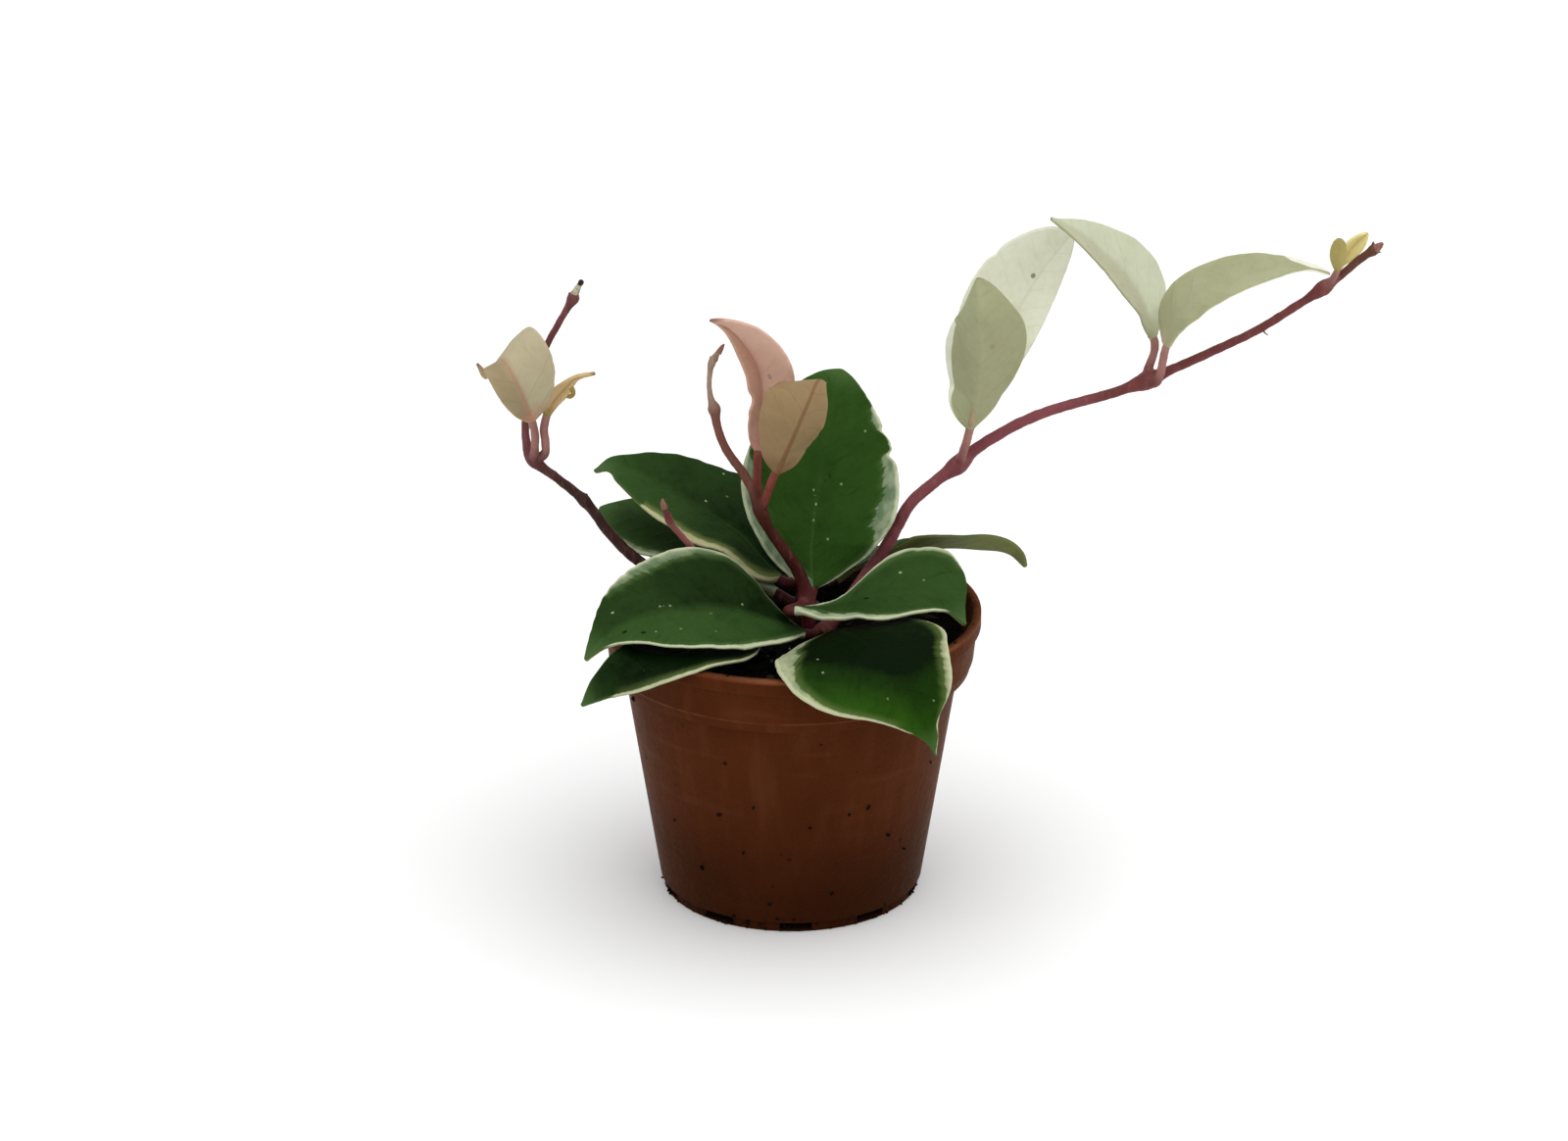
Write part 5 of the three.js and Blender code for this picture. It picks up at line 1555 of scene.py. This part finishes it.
def green_material(leaves, leaf):
    """Waxy dark green with faint veins, pale flecks and a ragged light margin that fades to grey green,
    darkened by painted shade where the leaf's table asks and in the creases.
    """
    s = Surface(f"{leaf['node']}_surface")
    flat = s.attribute("flat", "Vector")
    across, along, seed = s.parts(flat)
    deep, mint, soft = s.parts(s.attribute("shade_and_band", "Vector"))
    share, under = s.attribute("share"), s.attribute("under")

    cloud = s.noise(flat, 11, 3, 0.6)
    mottle = s.noise(flat, 2.4, 4, 0.6)
    fresh = between(leaves.green, leaves.vivid, leaf["vivid"])
    light = between(leaves.light, leaves.vivid, 0.5 * leaf["vivid"])
    # Painted shade from the leaf's table, with random cloud and mottle, darkens the green towards Deep Green.
    depth = s.maths("ADD", deep, s.spread(cloud, 0.4, 0.75, 0, 0.16))
    depth = s.maths("ADD", depth, s.spread(mottle, 0.45, 0.8, 0, 0.14))
    green = s.blend(depth, fresh, leaves.deep)
    veins = vein_pattern(s, flat, across, along)
    green = s.over(green, light, veins, s.spread(deep, 0.0, 0.6, 0.05, 0))
    rib = s.times(s.spread(s.size(across), 0.5, 0.12), s.spread(share, 0.62, 0.1))
    green = s.over(green, light, rib, leaf["rib_light"])
    green = s.over(green, leaves.light, s.spread(share, 0.86, 1.0, 0, 0.6))

    creases = crease_pattern(s, across, along, seed)
    halo, band, greyed = band_masks(s, leaf, flat, soft, mint, creases)
    # Painted shade in the creases.
    green = s.over(green, leaves.deep, s.spread(creases, 0.05, 0.24, 0, 0.26))
    green = s.over(green, light, s.spread(s.attribute("edge"), 0.8, 0.0, 0, 0.4))
    green = s.over(green, between(light, leaves.olive, leaf["warm"]), halo)
    cream = s.blend(0.8 * leaf["warm"], leaves.cream, leaves.yellow)
    base = s.blend(band, green, s.over(cream, leaves.mint, greyed))

    bent = s.warped(flat, 0.8, 0.5)
    flecks = s.maths("MAXIMUM", s.flecks(bent, 5, 0.16, 0.36), s.flecks(bent, 2.6, 0.06, 0.22))
    base = s.over(base, leaves.mint, flecks, s.spread(mottle, 0.3, 0.7, 0.15, 0.6))
    base = s.over(base, leaves.deep, s.flecks(bent, 9, 0.12, 0.5), 0.7)
    dark, bright = speck_masks(s, flat)
    base = s.over(base, leaves.cream, bright, 0.6)
    base = s.over(base, shade(leaves.deep, 0.3), dark, 0.85)

    back = s.blend(s.spread(cloud, 0.3, 0.7), leaves.olive, shade(leaves.olive, 0.72))
    back = s.over(back, leaves.cream, band, 0.5)
    base = s.over(base, back, s.spread(under, 0.45, 0.6))

    normal = s.bumps((s.noise(flat, 0.5, 3), 0.00004), (veins, 0.00008), (mottle, 0.00015))
    roughness = s.maths("MULTIPLY_ADD", s.noise(flat, 3, 3), 0.2, 0.42)
    return s.finish(
        base, roughness, normal, Specular_IOR_Level=0.02, Subsurface_Weight=0.03, Subsurface_Scale=0.002
    )


def young_material(name, face, back, rib_colour, rib_strength, tip):
    """Thin soft leaf without green: painted shade where its table asks, a clear rib, faint veins and a
    slightly darker edge.
    """
    s = Surface(name)
    flat = s.attribute("flat", "Vector")
    across, along, _ = s.parts(flat)
    deep = s.parts(s.attribute("shade_and_band", "Vector"))[0]
    share, edge, under = s.attribute("share"), s.attribute("edge"), s.attribute("under")
    cloud = s.noise(flat, 9, 3, 0.6)
    mottle = s.noise(flat, 1.8, 3, 0.6)
    rolled = s.times(s.spread(s.attribute("inner"), 0.2, -0.2), s.spread(s.attribute("band"), 0.2, 0.7))
    base = s.blend(s.size(s.minus(s.spread(under, 0.45, 0.6), rolled)), face, back)
    dusk = s.darkened(base, (0.78, 0.74, 0.7))
    base = s.over(base, dusk, s.spread(cloud, 0.4, 0.75, 0, 0.35))
    base = s.over(base, dusk, s.spread(mottle, 0.45, 0.75, 0, 0.25))
    # Painted shade, as strong as the leaf's table asks.
    base = s.over(base, s.darkened(base, (0.66, 0.58, 0.48)), deep)
    veins = vein_pattern(s, flat, across, along)
    base = s.over(base, rib_colour, veins, 0.04)
    rib = s.spread(s.maths("DIVIDE", s.size(across), s.spread(share, 0, 1, 1.1, 0.5)), 0.9, 0.25)
    base = s.over(base, rib_colour, rib, rib_strength)
    base = s.over(base, rib_colour, s.spread(share, 0.2, 0.0, 0, 0.7))
    base = s.over(base, rib_colour, s.spread(edge, 0.5, 0.0, 0, 0.12))
    base = s.over(base, shade(rib_colour, 0.4), s.spread(share, tip, 1.0, 0, 0.75))
    brown = paint(92, 74, 56)
    base = s.over(base, brown, speck_masks(s, flat)[0], 0.7)
    base = s.over(base, brown, s.flecks(s.warped(flat, 0.8, 0.5), 9, 0.15, 0.35), 0.3)
    normal = s.bumps((s.noise(flat, 0.6, 3), 0.00004), (veins, 0.00008))
    return s.finish(
        base, 0.55, normal, Specular_IOR_Level=0.1, Subsurface_Weight=0.3, Subsurface_Scale=0.002,
        Subsurface_Radius=(1, 1, 0.8),
    )


# Stage


class PLANT_OT_stage(bpy.types.Operator):
    """Set the pale floor, the soft lights and the camera"""

    bl_idname = "plant.stage"
    bl_label = "Stage"

    FLOOR_SIZE = 20
    TARGET = Vector((-0.002, 0, 0.093))

    def execute(self, context):
        stage = context.scene.plant_stage
        self.floor(stage)
        self.light("overhead_light", (0.15, -0.15, 1), 90, stage.overhead)
        self.light("front_light", (-0.3, -1, 0.8), 120, stage.fill)
        self.sky(context, stage)
        self.camera(context, stage)
        context.scene.view_settings.view_transform = "Standard"
        return {"FINISHED"}

    def floor(self, stage):
        shape = bmesh.new()
        bmesh.ops.create_grid(shape, x_segments=2, y_segments=2, size=self.FLOOR_SIZE)
        ground = object_from("floor", shape)
        ground.data.materials.append(Surface("pale_floor").finish(stage.floor, 0.9, Specular_IOR_Level=0.1))

    def light(self, name, source, spread, strength):
        """A broad soft light that comes from the source's direction, spread over an angle in degrees."""
        lamp = bpy.data.lights.new(name, "SUN")
        lamp.energy = strength
        lamp.angle = math.radians(spread)
        obj = bpy.data.objects.new(name, lamp)
        bpy.context.scene.collection.objects.link(obj)
        obj.rotation_euler = (-Vector(source)).to_track_quat("-Z", "Y").to_euler()

    def sky(self, context, stage):
        world = bpy.data.worlds.new("soft_room")
        world.use_nodes = True
        background = world.node_tree.nodes["Background"]
        background.inputs["Color"].default_value = (1, 1, 1, 1)
        background.inputs["Strength"].default_value = stage.sky
        context.scene.world = world

    def camera(self, context, stage):
        tilt = stage.elevation
        away = Vector((0, -math.cos(tilt), math.sin(tilt)))
        lens = bpy.data.cameras.new("camera")
        lens.lens = stage.lens
        lens.sensor_width = 36
        lens.sensor_fit = "HORIZONTAL"
        obj = bpy.data.objects.new("camera", lens)
        context.scene.collection.objects.link(obj)
        obj.location = self.TARGET + away * stage.distance
        obj.rotation_euler = (math.pi / 2 - tilt, 0, 0)
        context.scene.camera = obj


# Add-on


class PLANT_PT_panel(bpy.types.Panel):
    """Lists the plant's pieces and their settings"""

    bl_idname = "PLANT_PT_panel"
    bl_label = "Wax Plant"
    bl_space_type = "VIEW_3D"
    bl_region_type = "UI"
    bl_category = "Plant"

    def draw(self, context):
        for operator, settings in STEPS:
            box = self.layout.box()
            box.operator(operator)
            group = getattr(context.scene, settings)
            for name in group.bl_rna.properties.keys():
                if name not in ("rna_type", "name"):
                    box.prop(group, name)


GROUPS = {
    "plant_pot": PotSettings,
    "plant_soil": SoilSettings,
    "plant_stems": StemSettings,
    "plant_leaves": LeafSettings,
    "plant_stage": StageSettings,
}
STEPS = (
    ("plant.pot", "plant_pot"),
    ("plant.soil", "plant_soil"),
    ("plant.stems", "plant_stems"),
    ("plant.grown_leaves", "plant_leaves"),
    ("plant.young_leaves", "plant_leaves"),
    ("plant.stage", "plant_stage"),
)
CLASSES = (
    *GROUPS.values(),
    PLANT_OT_pot,
    PLANT_OT_soil,
    PLANT_OT_stems,
    PLANT_OT_grown_leaves,
    PLANT_OT_young_leaves,
    PLANT_OT_stage,
    PLANT_PT_panel,
)


def register():
    for cls in CLASSES:
        bpy.utils.register_class(cls)
    for name, group in GROUPS.items():
        setattr(bpy.types.Scene, name, bpy.props.PointerProperty(type=group))


def unregister():
    for name in GROUPS:
        delattr(bpy.types.Scene, name)
    for cls in reversed(CLASSES):
        bpy.utils.unregister_class(cls)


def main():
    register()
    bpy.ops.plant.pot()
    bpy.ops.plant.soil()
    bpy.ops.plant.stems()
    bpy.ops.plant.grown_leaves()
    bpy.ops.plant.young_leaves()
    bpy.ops.plant.stage()


if __name__ == "__main__":
    main()
